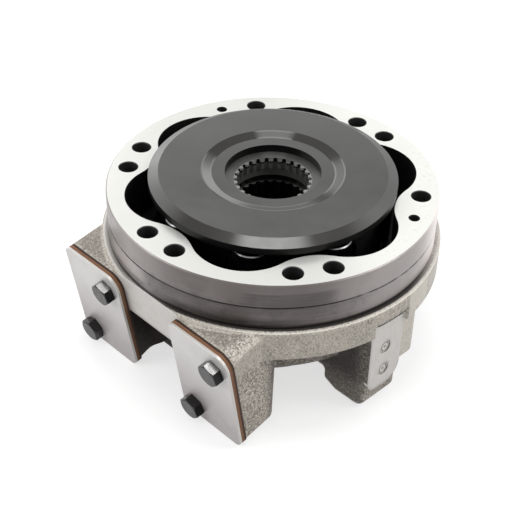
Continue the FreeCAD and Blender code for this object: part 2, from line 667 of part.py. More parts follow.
def make_arm(side):
    """Cast arm from the hub out to one port pad, cut to the outline of the pad."""
    plan = rounded_outline([
        (ARM_INNER_X, PAD_TOP_Y, 0), (ARM_OUTER_X, PAD_TOP_Y, 0),
        (ARM_OUTER_BACK_X, ARM_OUTER_BACK_Y, ARM_BACK_ROUNDING), (ARM_HEEL_X, ARM_HEEL_Y, 0),
        (0, ARM_HEEL_Y, 0), (0, WEB_FRONT_Y, 0),
        (ARM_INNER_BACK_X, WEB_FRONT_Y, WEB_ROUNDING),
        (ARM_INNER_BACK_X, ARM_INNER_BACK_Y, 0)])
    arm = prism(plan, LEG_BOTTOM_Z, CAST_TOP_Z)
    knee = make_knee()
    if side < 0:
        arm = arm.mirror(Vector(0, 0, 0), Vector(1, 0, 0))
        knee = knee.mirror(Vector(0, 0, 0), Vector(1, 0, 0))
    behind_pad = on_pad(prism(pad_wire(), -PAD_DEPTH, 0), side, 0)
    arm = arm.common(behind_pad)
    low = [edge for edge in arm.Edges if is_arm_sole(edge.BoundBox)]
    return [arm.makeFillet(ARM_BOTTOM_ROUNDING, low), knee]


def make_web():
    """Cast wall that closes the space between the arms at their back."""
    plan = rounded_outline([
        (-ARM_OUTER_BACK_X / 2, ARM_HEEL_Y, 0), (-ARM_OUTER_BACK_X / 2, WEB_FRONT_Y, 0),
        (ARM_OUTER_BACK_X / 2, WEB_FRONT_Y, 0), (ARM_OUTER_BACK_X / 2, ARM_HEEL_Y, 0)])
    return prism(plan, WEB_BOTTOM_Z, FLANGE_BOTTOM_Z + 1)


def make_strip():
    """Deeper stretch of the flange between the pads, flush with them once it is machined."""
    reach = ARM_INNER_X + STRIP_OVERLAP
    return box((-reach, PAD_TOP_Y, STRIP_BOTTOM_Z), (reach, STRIP_BACK_Y, CAST_TOP_Z))


def make_valve_boss():
    """Boss and leg on the +X side that hold the control galleries."""
    leg = along_y([(BOSS_INNER_X, FLANGE_BOTTOM_Z + 1, 0), (LEG_X, FLANGE_BOTTOM_Z + 1, 0),
                   (LEG_X, LEG_BOTTOM_Z, LEG_TOE_ROUNDING),
                   (LEG_HEEL_X, LEG_BOTTOM_Z, LEG_HEEL_ROUNDING),
                   (LEG_ARCH_X, LEG_HEEL_Z, LEG_HEEL_ROUNDING),
                   (LEG_ARCH_X, LEG_ARCH_Z, LEG_ARCH_ROUNDING), (BOSS_INNER_X, LEG_ARCH_Z, 0)],
                  LEG_FRONT_Y, LEG_BACK_Y)
    edges = [edge for edge in leg.Edges
             if abs(edge.BoundBox.YMin - edge.BoundBox.YMax) < 1e-6
             and edge.BoundBox.ZMin < FLANGE_BOTTOM_Z - 1 and edge.BoundBox.XMax > LEG_HEEL_X]
    leg = leg.makeFillet(LEG_EDGE_ROUNDING, edges)
    barrel = along_y([(BOSS_INNER_X, FLANGE_BOTTOM_Z + 1, 0), (BOSS_X, FLANGE_BOTTOM_Z + 1, 0),
                      (BOSS_X, BOSS_BOTTOM_Z, BOSS_ROUNDING), (BOSS_INNER_X, BOSS_BOTTOM_Z, 0)],
                     LEG_FRONT_Y + LEG_EDGE_ROUNDING, BOSS_BACK_Y)
    upright = [edge for edge in barrel.Edges
               if edge.BoundBox.ZLength > 20 and edge.BoundBox.XMin > BOSS_X - 1
               and edge.BoundBox.YMin > BOSS_BACK_Y - 1]
    barrel = barrel.makeFillet(LEG_EDGE_ROUNDING, upright)
    face_pad = along_x([(TAB_FRONT_Y, TAB_BOTTOM_Z, TAB_FRONT_CORNER),
                        (TAB_BACK_Y, TAB_BOTTOM_Z, TAB_BACK_CORNER),
                        (TAB_BACK_Y, FLANGE_BOTTOM_Z + 1, 0),
                        (TAB_FRONT_Y, FLANGE_BOTTOM_Z + 1, 0)], TAB_X - TAB_DEPTH, TAB_X)
    return [leg, barrel, face_pad]


def plug_places():
    return [Vector(TAB_X, PLUG_Y, PLUG_TOP_Z - i * PLUG_PITCH) for i in range(2)]


def make_case_casting():
    body = revolved([(0, -RING_HEIGHT), (FLANGE_RADIUS, -RING_HEIGHT),
                     (FLANGE_RADIUS, FLANGE_BOTTOM_Z), (DRUM_RADIUS, FLANGE_BOTTOM_Z),
                     (DRUM_RADIUS, DRUM_BOTTOM_Z), (HUB_RADIUS, DRUM_BOTTOM_Z),
                     (HUB_RADIUS, HUB_BOTTOM_Z), (0, HUB_BOTTOM_Z)])

    def rim(radius, z):
        return [edge for edge in body.Edges
                if abs(edge.BoundBox.ZMin - z) < 1e-3 and edge.BoundBox.ZLength < 1e-3
                and abs(edge.BoundBox.XMax - radius) < 1e-3]

    for radius, z, rounding in ((FLANGE_RADIUS, FLANGE_BOTTOM_Z, FLANGE_ROUNDING),
                                (DRUM_RADIUS, DRUM_BOTTOM_Z, DRUM_ROUNDING),
                                (HUB_RADIUS, HUB_BOTTOM_Z, HUB_ROUNDING)):
        body = body.makeFillet(rounding, rim(radius, z))
    top = rim(FLANGE_RADIUS, -RING_HEIGHT)
    body = body.makeChamfer(RING_EDGE_CHAMFER, top)
    return fused([body] + make_arm(-1) + make_arm(1) + [make_web(), make_strip()]
                 + make_valve_boss())


def distributor_bore():
    """The stepped bore that the distributor sits in, with room for its springs below."""
    tops = (BLOCK_POCKET_FLOOR_Z,) + DISTRIBUTOR_STEP_Z[:-1]
    bottoms = DISTRIBUTOR_STEP_Z[:-1] + (SPRING_FLOOR_Z,)
    return [cylinder(radius + DISTRIBUTOR_CLEARANCE, bottom - DISTRIBUTOR_CLEARANCE, top + 1)
            for radius, top, bottom in zip(DISTRIBUTOR_RADII, tops, bottoms)]


def drain_piece(shape):
    """Moves a piece modelled on the X axis to the drain port."""
    moved = shape.copy()
    moved.translate(Vector(0, 0, DRAIN_Z))
    return turned(moved, DRAIN_ANGLE)


def drain_cutters():
    spot = Part.makeCylinder(DRAIN_SPOT_DIAMETER / 2, CUTTER_REACH,
                             Vector(DRAIN_FACE_RADIUS, 0, 0), Vector(1, 0, 0))
    thread = Part.makeCylinder(DRAIN_THREAD_DIAMETER / 2, DRAIN_THREAD_DEPTH + 1,
                               Vector(DRAIN_FACE_RADIUS - DRAIN_THREAD_DEPTH, 0, 0),
                               Vector(1, 0, 0))
    pocket = BLOCK_RADIUS + BLOCK_POCKET_CLEARANCE - 2
    bore = Part.makeCylinder(DRAIN_BORE_DIAMETER / 2, DRAIN_FACE_RADIUS - pocket,
                             Vector(pocket, 0, 0), Vector(1, 0, 0))
    return [drain_piece(shape) for shape in (spot, thread, bore)]


def spring_places(z):
    step = 360.0 / SPRINGS
    return [polar(SPRING_CIRCLE_RADIUS, step * i, z) for i in range(SPRINGS)]


def pin_places(z):
    step = 360.0 / DRIVE_PINS
    half_spring_step = 180.0 / SPRINGS
    return [polar(SPRING_CIRCLE_RADIUS, step * i + half_spring_step, z)
            for i in range(DRIVE_PINS)]


def make_rear_case():
    case = make_case_casting()
    beyond_pad = box((-PAD_WIDTH, -PAD_HEIGHT, 0), (PAD_WIDTH, PAD_HEIGHT, CUTTER_REACH))
    outside_pads = [on_pad(beyond_pad, side, 0) for side in (-1, 1)]
    beyond_tab = along_x([(TAB_FRONT_Y, TAB_BOTTOM_Z, TAB_FRONT_CORNER),
                          (TAB_BACK_Y, TAB_BOTTOM_Z, TAB_BACK_CORNER),
                          (TAB_BACK_Y, TAB_TOP_Z, 0), (TAB_FRONT_Y, TAB_TOP_Z, 0)],
                         TAB_X, TAB_X + CUTTER_REACH)
    pocket = cylinder(BLOCK_RADIUS + BLOCK_POCKET_CLEARANCE, BLOCK_POCKET_FLOOR_Z, 0)
    groove_half = RING_SEAL_GROOVE_WIDTH / 2
    groove_floor = -RING_HEIGHT - RING_SEAL_SECTION - RING_SEAL_CLEARANCE
    groove = cylinder(RING_SEAL_RADIUS + groove_half, groove_floor, 0).cut(
        cylinder(RING_SEAL_RADIUS - groove_half, groove_floor, 0))
    hub_recess = cylinder(HUB_RECESS_RADIUS, HUB_BOTTOM_Z - 1, HUB_BOTTOM_Z + HUB_RECESS_DEPTH)
    galleries = []
    for place in plug_places():
        inward = Vector(-1, 0, 0)
        galleries.append(Part.makeCylinder(PLUG_DIAMETER / 2 + PLUG_CLEARANCE,
                                           PLUG_LENGTH + PLUG_RECESS, place, inward))
        galleries.append(Part.makeCylinder(GALLERY_DIAMETER / 2, GALLERY_LENGTH, place, inward))
    pins = [cylinder(DRIVE_PIN_DIAMETER / 2 + DRIVE_PIN_CLEARANCE, -DRIVE_PIN_SEAT, 1, place)
            for place in pin_places(SPRING_FLOOR_Z)]
    cutters = outside_pads + [beyond_tab, pocket, groove, hub_recess] + galleries + pins
    cutters += flange_holes(STRIP_BOTTOM_Z - 1, 0) + bolt_seats()
    cutters += distributor_bore() + drain_cutters()
    cutters += port_cutters(-1) + port_cutters(1)
    return case.cut(cutters)


def make_distributor():
    radii = DISTRIBUTOR_RADII
    outline = [(DISTRIBUTOR_BORE_RADIUS, DISTRIBUTOR_TOP_Z), (radii[0], DISTRIBUTOR_TOP_Z)]
    for i, z in enumerate(DISTRIBUTOR_STEP_Z):
        outline.append((radii[i], z))
        if i + 1 < len(radii):
            outline.append((radii[i + 1], z))
    outline.append((DISTRIBUTOR_BORE_RADIUS, DISTRIBUTOR_BOTTOM_Z))
    body = revolved(outline)
    cutters = [seal_ring(i, SEAL_WIDTH, SEAL_DEPTH, True) for i in range(len(radii))]
    gallery_tops = [z - DISTRIBUTOR_GALLERY_SETBACK for z in DISTRIBUTOR_STEP_Z[:-1]]
    for i, top in enumerate(gallery_tops):
        bottom = top - DISTRIBUTOR_GALLERY_HEIGHT
        outer = cylinder(radii[i + 1] + 1, bottom, top)
        cutters.append(outer.cut(cylinder(DISTRIBUTOR_GALLERY_RADII[i], bottom, top)))
    ports = 2 * LOBES
    for i in range(ports):
        depth = gallery_tops[i % 2] - DISTRIBUTOR_GALLERY_HEIGHT / 2
        cutters.append(cylinder(CYLINDER_PORT_DIAMETER / 2, depth, DISTRIBUTOR_TOP_Z + 1,
                                polar(CYLINDER_PORT_RADIUS, 360.0 / ports * (i + 0.5))))
    cutters += [cylinder(SPRING_POCKET_DIAMETER / 2, -1, SPRING_POCKET_DEPTH, place)
                for place in spring_places(DISTRIBUTOR_BOTTOM_Z)]
    cutters += [cylinder(DRIVE_PIN_DIAMETER / 2 + DRIVE_PIN_CLEARANCE, -1, DRIVE_PIN_LENGTH, place)
                for place in pin_places(DISTRIBUTOR_BOTTOM_Z)]
    return body.cut(cutters)


def seal_ring(index, width, depth, groove=False):
    """One distributor seal, or the groove it lies in, in the wall of step number index."""
    radius = DISTRIBUTOR_RADII[index]
    bottom = DISTRIBUTOR_STEP_Z[index] + SEAL_SETBACK
    outer = radius + 1 if groove else radius
    return cylinder(outer, bottom, bottom + width).cut(
        cylinder(radius - depth, bottom, bottom + width))


def make_distributor_seal(index):
    seal = seal_ring(index, SEAL_WIDTH - 2 * SEAL_CLEARANCE, SEAL_DEPTH - SEAL_CLEARANCE)
    seal.translate(Vector(0, 0, SEAL_CLEARANCE))
    return seal


def make_springs():
    """Flat wire springs between the floor of the case and the pockets of the distributor."""
    half_height = SPRING_WIRE_HEIGHT / 2
    inner = SPRING_MEAN_RADIUS - SPRING_WIRE_WIDTH / 2
    outer = SPRING_MEAN_RADIUS + SPRING_WIRE_WIDTH / 2
    length = SPRING_ROOM + SPRING_POCKET_DEPTH - SPRING_WIRE_HEIGHT
    coil = Part.makeHelix(length / SPRING_TURNS, length, SPRING_MEAN_RADIUS)
    corners = [Vector(inner, 0, -half_height), Vector(outer, 0, -half_height),
               Vector(outer, 0, half_height), Vector(inner, 0, half_height)]
    section = Part.makePolygon(corners + corners[:1])
    spring = Part.Wire(coil.Edges).makePipeShell([section], True, True)
    springs = []
    for place in spring_places(SPRING_FLOOR_Z + half_height):
        copy = spring.copy()
        copy.translate(place)
        springs.append(copy)
    return Part.makeCompound(springs)


def make_drive_pins():
    radius = DRIVE_PIN_DIAMETER / 2
    length = DRIVE_PIN_SEAT + SPRING_ROOM + DRIVE_PIN_LENGTH
    return Part.makeCompound([cylinder(radius, -DRIVE_PIN_SEAT, length - DRIVE_PIN_SEAT - 1, place)
                              for place in pin_places(SPRING_FLOOR_Z)])


def make_ring_seal():
    radius = RING_SEAL_SECTION / 2
    return Part.makeTorus(RING_SEAL_RADIUS, radius, Vector(0, 0, -RING_HEIGHT - radius))


def make_dowels():
    radius = DOWEL_DIAMETER / 2 - DOWEL_CLEARANCE
    chamfer = HOLE_CHAMFER
    dowel = revolved([(0, 0), (radius, 0), (radius, DOWEL_LENGTH - chamfer),
                      (radius - chamfer, DOWEL_LENGTH), (0, DOWEL_LENGTH)])
    dowels = []
    for angle in hole_angles()[1]:
        copy = dowel.copy()
        copy.translate(polar(BOLT_CIRCLE_RADIUS, angle, DOWEL_TOP_Z - DOWEL_LENGTH))
        dowels.append(copy)
    return Part.makeCompound(dowels)


def make_pad_sheet(side, thickness, proud, with_port):
    """A plate or gasket on a port pad, with clearance holes for its two bolts."""
    sheet = prism(pad_wire(), 0, thickness)
    hole = COVER_BOLT_DIAMETER / 2 + COVER_HOLE_CLEARANCE
    cutters = [cylinder(hole, -1, thickness + 1, place) for place in cover_bolt_places()]
    if with_port:
        cutters.append(cylinder(PORT_BORE_DIAMETER / 2, -1, thickness + 1, port_centre()))
    return on_pad(sheet.cut(cutters), side, proud)


def make_cover(side):
    plate = prism(pad_wire(), 0, COVER_THICKNESS)
    front = [edge for edge in plate.Edges if edge.BoundBox.ZMin > COVER_THICKNESS - 1e-6]
    plate = plate.makeFillet(COVER_EDGE_ROUNDING, front)
    hole = COVER_BOLT_DIAMETER / 2 + COVER_HOLE_CLEARANCE
    cutters = [cylinder(hole, -1, COVER_THICKNESS + 1, place) for place in cover_bolt_places()]
    return on_pad(plate.cut(cutters), side, GASKET_THICKNESS + LINER_THICKNESS)


def hexagon(across_flats):
    corner = across_flats / 2 / math.cos(math.radians(30))
    points = [polar(corner, 60 * i) for i in range(6)]
    return Part.makePolygon(points + points[:1])


def make_bolt():
    """A hexagon bolt that hangs from z 0, with its thread drawn at the core diameter."""
    flats = BOLT_HEAD_ACROSS_FLATS / 2
    corner = flats / math.cos(math.radians(30))
    top = BOLT_WASHER_FACE + BOLT_HEAD_HEIGHT
    drop = (corner - flats) * math.tan(math.radians(BOLT_HEAD_BEVEL_ANGLE))
    head = prism(hexagon(BOLT_HEAD_ACROSS_FLATS), BOLT_WASHER_FACE, top)
    bevel = revolved([(0, 0), (corner + 1, 0), (corner + 1, top - drop),
                      (corner, top - drop), (flats - 0.4, top), (0, top)])
    washer_face = cylinder(flats - 0.2, 0, BOLT_WASHER_FACE)
    shank = cylinder(COVER_BOLT_DIAMETER / 2, -PORT_STACK, 0)
    thread = cylinder(COVER_BOLT_CORE_DIAMETER / 2, -COVER_BOLT_LENGTH, -PORT_STACK)
    return fused([head.common(bevel), washer_face, shank, thread])


def make_cover_bolts(side):
    bolt = make_bolt()
    bolts = []
    turns = BOLT_TURNS[0 if side < 0 else 1]
    for turn, place in zip(turns, cover_bolt_places()):
        copy = bolt.copy()
        copy.rotate(Vector(0, 0, 0), Vector(0, 0, 1), turn)
        copy.translate(place)
        bolts.append(on_pad(copy, side, PORT_STACK))
    return Part.makeCompound(bolts)


def make_gallery_plugs():
    """Expander plugs: a cup with a ball pressed into it, flush in the machined face."""
    radius = PLUG_DIAMETER / 2
    cup = Part.makeCylinder(radius, PLUG_LENGTH, Vector(-PLUG_LENGTH, 0, 0), Vector(1, 0, 0))
    dish = Part.makeCone(radius * 0.55, radius * 0.72, 1.2, Vector(-1.2, 0, 0), Vector(1, 0, 0))
    mark = Part.makeCone(0.2, 0.9, 0.8, Vector(-2.0, 0, 0), Vector(1, 0, 0))
    plug = cup.cut([dish, mark])
    plugs = []
    for place in plug_places():
        copy = plug.copy()
        copy.translate(place - Vector(PLUG_RECESS, 0, 0))
        plugs.append(copy)
    return Part.makeCompound(plugs)


def make_drain_washer():
    start = Vector(DRAIN_FACE_RADIUS, 0, 0)
    outer = Part.makeCylinder(DRAIN_HEAD_DIAMETER / 2, DRAIN_WASHER_THICKNESS, start,
                              Vector(1, 0, 0))
    inner = Part.makeCylinder(DRAIN_THREAD_DIAMETER / 2 + DRAIN_CLEARANCE,
                              DRAIN_WASHER_THICKNESS, start, Vector(1, 0, 0))
    return drain_piece(outer.cut(inner))


def make_drain_plug():
    seat = DRAIN_FACE_RADIUS + DRAIN_WASHER_THICKNESS
    thread_start = DRAIN_FACE_RADIUS - DRAIN_THREAD_DEPTH + 2
    thread = Part.makeCylinder(DRAIN_THREAD_DIAMETER / 2 - DRAIN_CLEARANCE, seat - thread_start,
                               Vector(thread_start, 0, 0), Vector(1, 0, 0))
    straight = DRAIN_HEAD_HEIGHT - 1
    head = Part.makeCylinder(DRAIN_HEAD_DIAMETER / 2, straight, Vector(seat, 0, 0),
                             Vector(1, 0, 0))
    bevel = Part.makeCone(DRAIN_HEAD_DIAMETER / 2, DRAIN_HEAD_DIAMETER / 2 - 1, 1,
                          Vector(seat + straight, 0, 0), Vector(1, 0, 0))
    socket = prism(hexagon(DRAIN_SOCKET_FLATS), 0, DRAIN_SOCKET_DEPTH + 1)
    socket.rotate(Vector(0, 0, 0), Vector(0, 1, 0), 90)
    socket.translate(Vector(seat + DRAIN_HEAD_HEIGHT - DRAIN_SOCKET_DEPTH, 0, 0))
    return drain_piece(fused([thread, head, bevel]).cut(socket))


def all_nodes():
    """Every piece of the motor by its node name."""
    nodes = {
        "rear_case": make_rear_case(),
        "cam_ring": make_cam_ring(),
        "cylinder_block": make_cylinder_block(),
        "distributor": make_distributor(),
        "distributor_springs": make_springs(),
        "distributor_pins": make_drive_pins(),
        "ring_seal": make_ring_seal(),
        "locating_dowels": make_dowels(),
        "gallery_plugs": make_gallery_plugs(),
        "drain_plug": make_drain_plug(),
        "drain_washer": make_drain_washer(),
    }
    for index, place in enumerate(("upper", "middle", "lower")):
        nodes["distributor_seal_" + place] = make_distributor_seal(index)
    for side, name in ((-1, "left"), (1, "right")):
        nodes["port_cover_" + name] = make_cover(side)
        nodes["port_gasket_" + name] = make_pad_sheet(side, GASKET_THICKNESS, LINER_THICKNESS, True)
        nodes["port_liner_" + name] = make_pad_sheet(side, LINER_THICKNESS, 0, True)
        nodes["cover_bolts_" + name] = make_cover_bolts(side)
    pieces = (("piston", make_piston()), ("roller", make_roller()),
              ("roller_shell", make_roller_shell()), ("piston_ring", make_piston_ring()))
    for i in range(PISTONS):
        for name, shape in pieces:
            nodes["%s_%d" % (name, i + 1)] = piston_place(shape, i)
    return nodes


os.makedirs("parts", exist_ok=True)
for node, shape in all_nodes().items():
    shape.exportStep("parts/" + node + ".step")
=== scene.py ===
import math
from types import SimpleNamespace

import bmesh
import bpy
from bpy.props import FloatProperty, FloatVectorProperty, PointerProperty
from mathutils import Matrix, Vector, noise


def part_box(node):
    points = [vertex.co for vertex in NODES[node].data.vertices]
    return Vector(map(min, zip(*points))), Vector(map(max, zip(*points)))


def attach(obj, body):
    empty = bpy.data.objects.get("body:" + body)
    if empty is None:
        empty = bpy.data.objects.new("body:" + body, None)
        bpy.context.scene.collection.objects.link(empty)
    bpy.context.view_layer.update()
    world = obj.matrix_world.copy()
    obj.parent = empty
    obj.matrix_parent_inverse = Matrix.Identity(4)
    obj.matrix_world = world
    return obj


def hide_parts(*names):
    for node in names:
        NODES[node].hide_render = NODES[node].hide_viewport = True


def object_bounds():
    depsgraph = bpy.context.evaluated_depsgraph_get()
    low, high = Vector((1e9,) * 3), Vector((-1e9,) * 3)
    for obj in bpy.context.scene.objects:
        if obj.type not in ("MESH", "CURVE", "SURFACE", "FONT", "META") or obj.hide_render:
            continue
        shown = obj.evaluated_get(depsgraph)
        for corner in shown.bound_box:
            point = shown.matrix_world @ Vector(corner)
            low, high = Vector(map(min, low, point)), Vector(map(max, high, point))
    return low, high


bl_info = {
    "name": "Hydraulic drive motor finishes",
    "version": (1, 0, 0),
    "blender": (4, 5, 0),
    "location": "3D View > Sidebar > Drive motor",
    "description": "Finishes a packed radial piston drive motor and sets its studio",
    "category": "Object",
}

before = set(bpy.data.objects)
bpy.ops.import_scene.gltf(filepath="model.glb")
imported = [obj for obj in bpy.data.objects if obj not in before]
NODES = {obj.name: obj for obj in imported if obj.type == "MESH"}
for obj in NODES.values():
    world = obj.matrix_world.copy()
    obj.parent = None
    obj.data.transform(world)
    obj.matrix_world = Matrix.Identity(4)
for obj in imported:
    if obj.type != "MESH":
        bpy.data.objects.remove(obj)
CAD_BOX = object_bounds()
PISTONS = len([name for name in NODES if name.startswith("roller_shell_")])

# Sides of the motor as its camera sees them, in degrees about the motor axis
FRONT, LEFT, BACK, RIGHT = 314.0, 224.0, 134.0, 44.0

# The way that the port pads and their covers face
PAD_TILT = math.radians(9.5)
PAD_OUTWARD = (0.0, -math.cos(PAD_TILT), -math.sin(PAD_TILT))

# Radii and levels in metres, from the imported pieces. Levels count from the ring's top face.
RING_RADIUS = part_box("cam_ring")[1].x
DISC_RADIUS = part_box("cylinder_block")[1].x
FLANGE_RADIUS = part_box("rear_case")[1].x
LEDGE_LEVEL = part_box("rear_case")[1].z
ROLLER_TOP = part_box("roller_1")[1].z

# The same for edges inside a piece, which no box gives
FLANGE_FOOT = -0.0605
TAB_FACE = 0.1182
TAB_TOP = -0.0478
POCKET_RADIUS = 0.0837
POCKET_FLOOR = -0.0940
LOBE_RADIUS = 0.1080
SEAM_LEVEL = -0.0184
SEAM_HALF = 0.0006
LOBES = 6
SHARP_ANGLE = math.radians(32)


def colour(name, description, default):
    return FloatVectorProperty(name=name, description=description, default=default,
                               subtype="COLOR", size=3, min=0.0, max=1.0)


def length(name, description, default):
    return FloatProperty(name=name, description=description, default=default,
                         unit="LENGTH", subtype="DISTANCE", min=0.0, precision=5)


def share(name, description, default):
    return FloatProperty(name=name, description=description, default=default,
                         subtype="FACTOR", min=0.0, max=1.0)


class CastingSettings(bpy.types.PropertyGroup):
    skin: colour("Cast skin", "Colour of the shot-blasted casting", (0.50, 0.455, 0.40))
    hollow: colour("Hollow", "Colour in the pits of the cast skin", (0.17, 0.145, 0.12))
    fleck: colour("Fleck", "Colour of the worn edges and bright grains", (0.82, 0.78, 0.70))
    # Also laid as painted shade under the flange, on the leg, between the port arms and at the
    # ring's foot, and on the burr's painted shadow line.
    grime_and_shade: colour("Grime", "Colour of the oily dirt on shelves and under the flange",
                  (0.080, 0.066, 0.060))
    machined: colour("Machined face", "Colour of the milled faces", (0.70, 0.675, 0.645))
    inside: colour("Inside", "Colour of the oily bores and the block's pocket",
                   (0.012, 0.011, 0.0105))
    grain: length("Grain", "Size of the grains in the cast skin", 0.0014)
    depth: length("Grain depth", "Depth of the cast skin's roughness", 0.0003)
    corner: length("Corner", "Radius that the cast edges are rounded by", 0.005)
    burr: length("Burr", "Thickness of the burr over the milled side face", 0.0011)


class RingSettings(bpy.types.PropertyGroup):
    face: colour("Ground face", "Colour of the ring's ground top face", (0.78, 0.78, 0.742))
    mark: colour("Handling mark", "Colour of the faint marks on the top face",
                 (0.60, 0.58, 0.54))
    rim: colour("Turned rim", "Colour of the ring's turned side", (0.145, 0.126, 0.122))
    # Also the colour of the painted sheen, glare and highlights on the side, and of the lathe
    # lines.
    wiped_and_sheen: colour("Wiped rim", "Colour of the side where its oil is wiped off",
                  (0.37, 0.34, 0.33))
    rust: colour("Rust", "Colour of the freckles at the foot of the side",
                 (0.13, 0.075, 0.045))
    track: colour("Cam track", "Colour of the oily hardened cam track",
                  (0.023, 0.0225, 0.022))


class BlockSettings(bpy.types.PropertyGroup):
    disc: colour("Disc", "Colour of the block's phosphated disc", (0.100, 0.101, 0.096))
    slope: colour("Slope", "Colour of the coated chamfer and slope", (0.038, 0.037, 0.035))
    # Colour of the painted reflections on the disc's chamfer and slope.
    bright: colour("Bright turning", "Colour where the coating is rubbed bright",
                   (0.135, 0.135, 0.133))
    bore: colour("Bore", "Colour of the oily bore and sides", (0.010, 0.010, 0.010))


class PistonSettings(bpy.types.PropertyGroup):
    roller: colour("Roller", "Colour of the oily rollers", (0.050, 0.050, 0.051))
    # Colour of the painted highlight line on the rollers' end edges.
    bevel: colour("Roller edge", "Colour of the rollers' bright end edges",
                  (0.27, 0.27, 0.27))
    piston: colour("Piston", "Colour of the oily pistons", (0.045, 0.045, 0.046))
    shell: colour("Shell", "Colour of the bearing shells", (0.10, 0.075, 0.04))
    ring: colour("Piston ring", "Colour of the piston rings", (0.012, 0.012, 0.012))


class CoverSettings(bpy.types.PropertyGroup):
    plate: colour("Plate", "Colour of the zinc plated covers", (0.72, 0.705, 0.69))
    foot: colour("Plate foot", "Colour of the covers near their foot", (0.43, 0.39, 0.395))
    edge: colour("Plate edge", "Colour of the covers' bright cut edge", (0.62, 0.60, 0.57))
    gasket: colour("Gasket", "Colour of the fibre gaskets", (0.21, 0.095, 0.045))
    liner: colour("Liner", "Colour of the dark liners behind the gaskets",
                  (0.035, 0.014, 0.006))


class FastenerSettings(bpy.types.PropertyGroup):
    head: colour("Bolt", "Colour of the oiled cover bolts", (0.042, 0.040, 0.041))
    # Colour of the painted highlights on the bolts' flats.
    polished: colour("Bolt flat", "Colour of the bolts' flats that a spanner has rubbed",
                     (0.19, 0.187, 0.182))
    plug: colour("Plug", "Colour of the plugs in the machined face", (0.60, 0.58, 0.55))
    groove: colour("Groove", "Colour of the ring and dot pressed into each plug",
                   (0.10, 0.09, 0.08))
    copper: colour("Washer", "Colour of the drain plug's washer", (0.45, 0.20, 0.10))
    steel: colour("Inner steel", "Colour of dowels, pins and springs", (0.30, 0.30, 0.30))
    rubber: colour("Seal", "Colour of the seals", (0.02, 0.02, 0.02))
    press: length("Press mark", "Depth of the ring and dot pressed into each plug", 0.0004)


class StageSettings(bpy.types.PropertyGroup):
    floor: colour("Floor", "Colour of the plain floor", (0.45, 0.45, 0.45))
    floor_size: length("Floor size", "Side of the square floor", 8.0)
    lens: FloatProperty(name="Lens", description="Focal length of the camera",
                        default=83.49, unit="CAMERA", min=10.0)
    turn: FloatProperty(name="Turn", description="Camera's turn round the motor axis",
                        default=math.radians(44.4), subtype="ANGLE")
    rise: FloatProperty(name="Rise", description="Camera's angle above the horizon",
                        default=math.radians(34.19), subtype="ANGLE")
    away: length("Distance", "Camera's level distance from the motor axis", 0.7092)
    height: length("Height", "Camera's height over the cam ring's face", 0.4818)
    yaw: FloatProperty(name="Yaw", description="Camera's turn off the motor axis",
                       default=math.radians(0.49), subtype="ANGLE")
    pitch: FloatProperty(name="Pitch", description="Camera's nod off its rise",
                         default=math.radians(-3.75), subtype="ANGLE")
    roll: FloatProperty(name="Roll", description="Camera's roll",
                        default=math.radians(-1.82), subtype="ANGLE")
    ambient: share("Ambient", "Strength of the even light from all round", 0.50)
    top_power: FloatProperty(name="Top light", description="Power of the light overhead",
                             default=6.0, unit="POWER", min=0.0)
    side_power: FloatProperty(name="Side light",
                              description="Power of the light before the port pads",
                              default=6.0, unit="POWER", min=0.0)
    rim_power: FloatProperty(name="Rim light",
                             description="Power of the lights behind, right and left",
                             default=4.0, unit="POWER", min=0.0)


def toned(colour, factor):
    """The colour made darker or lighter by a factor."""
    return [min(1.0, part * factor) for part in colour]


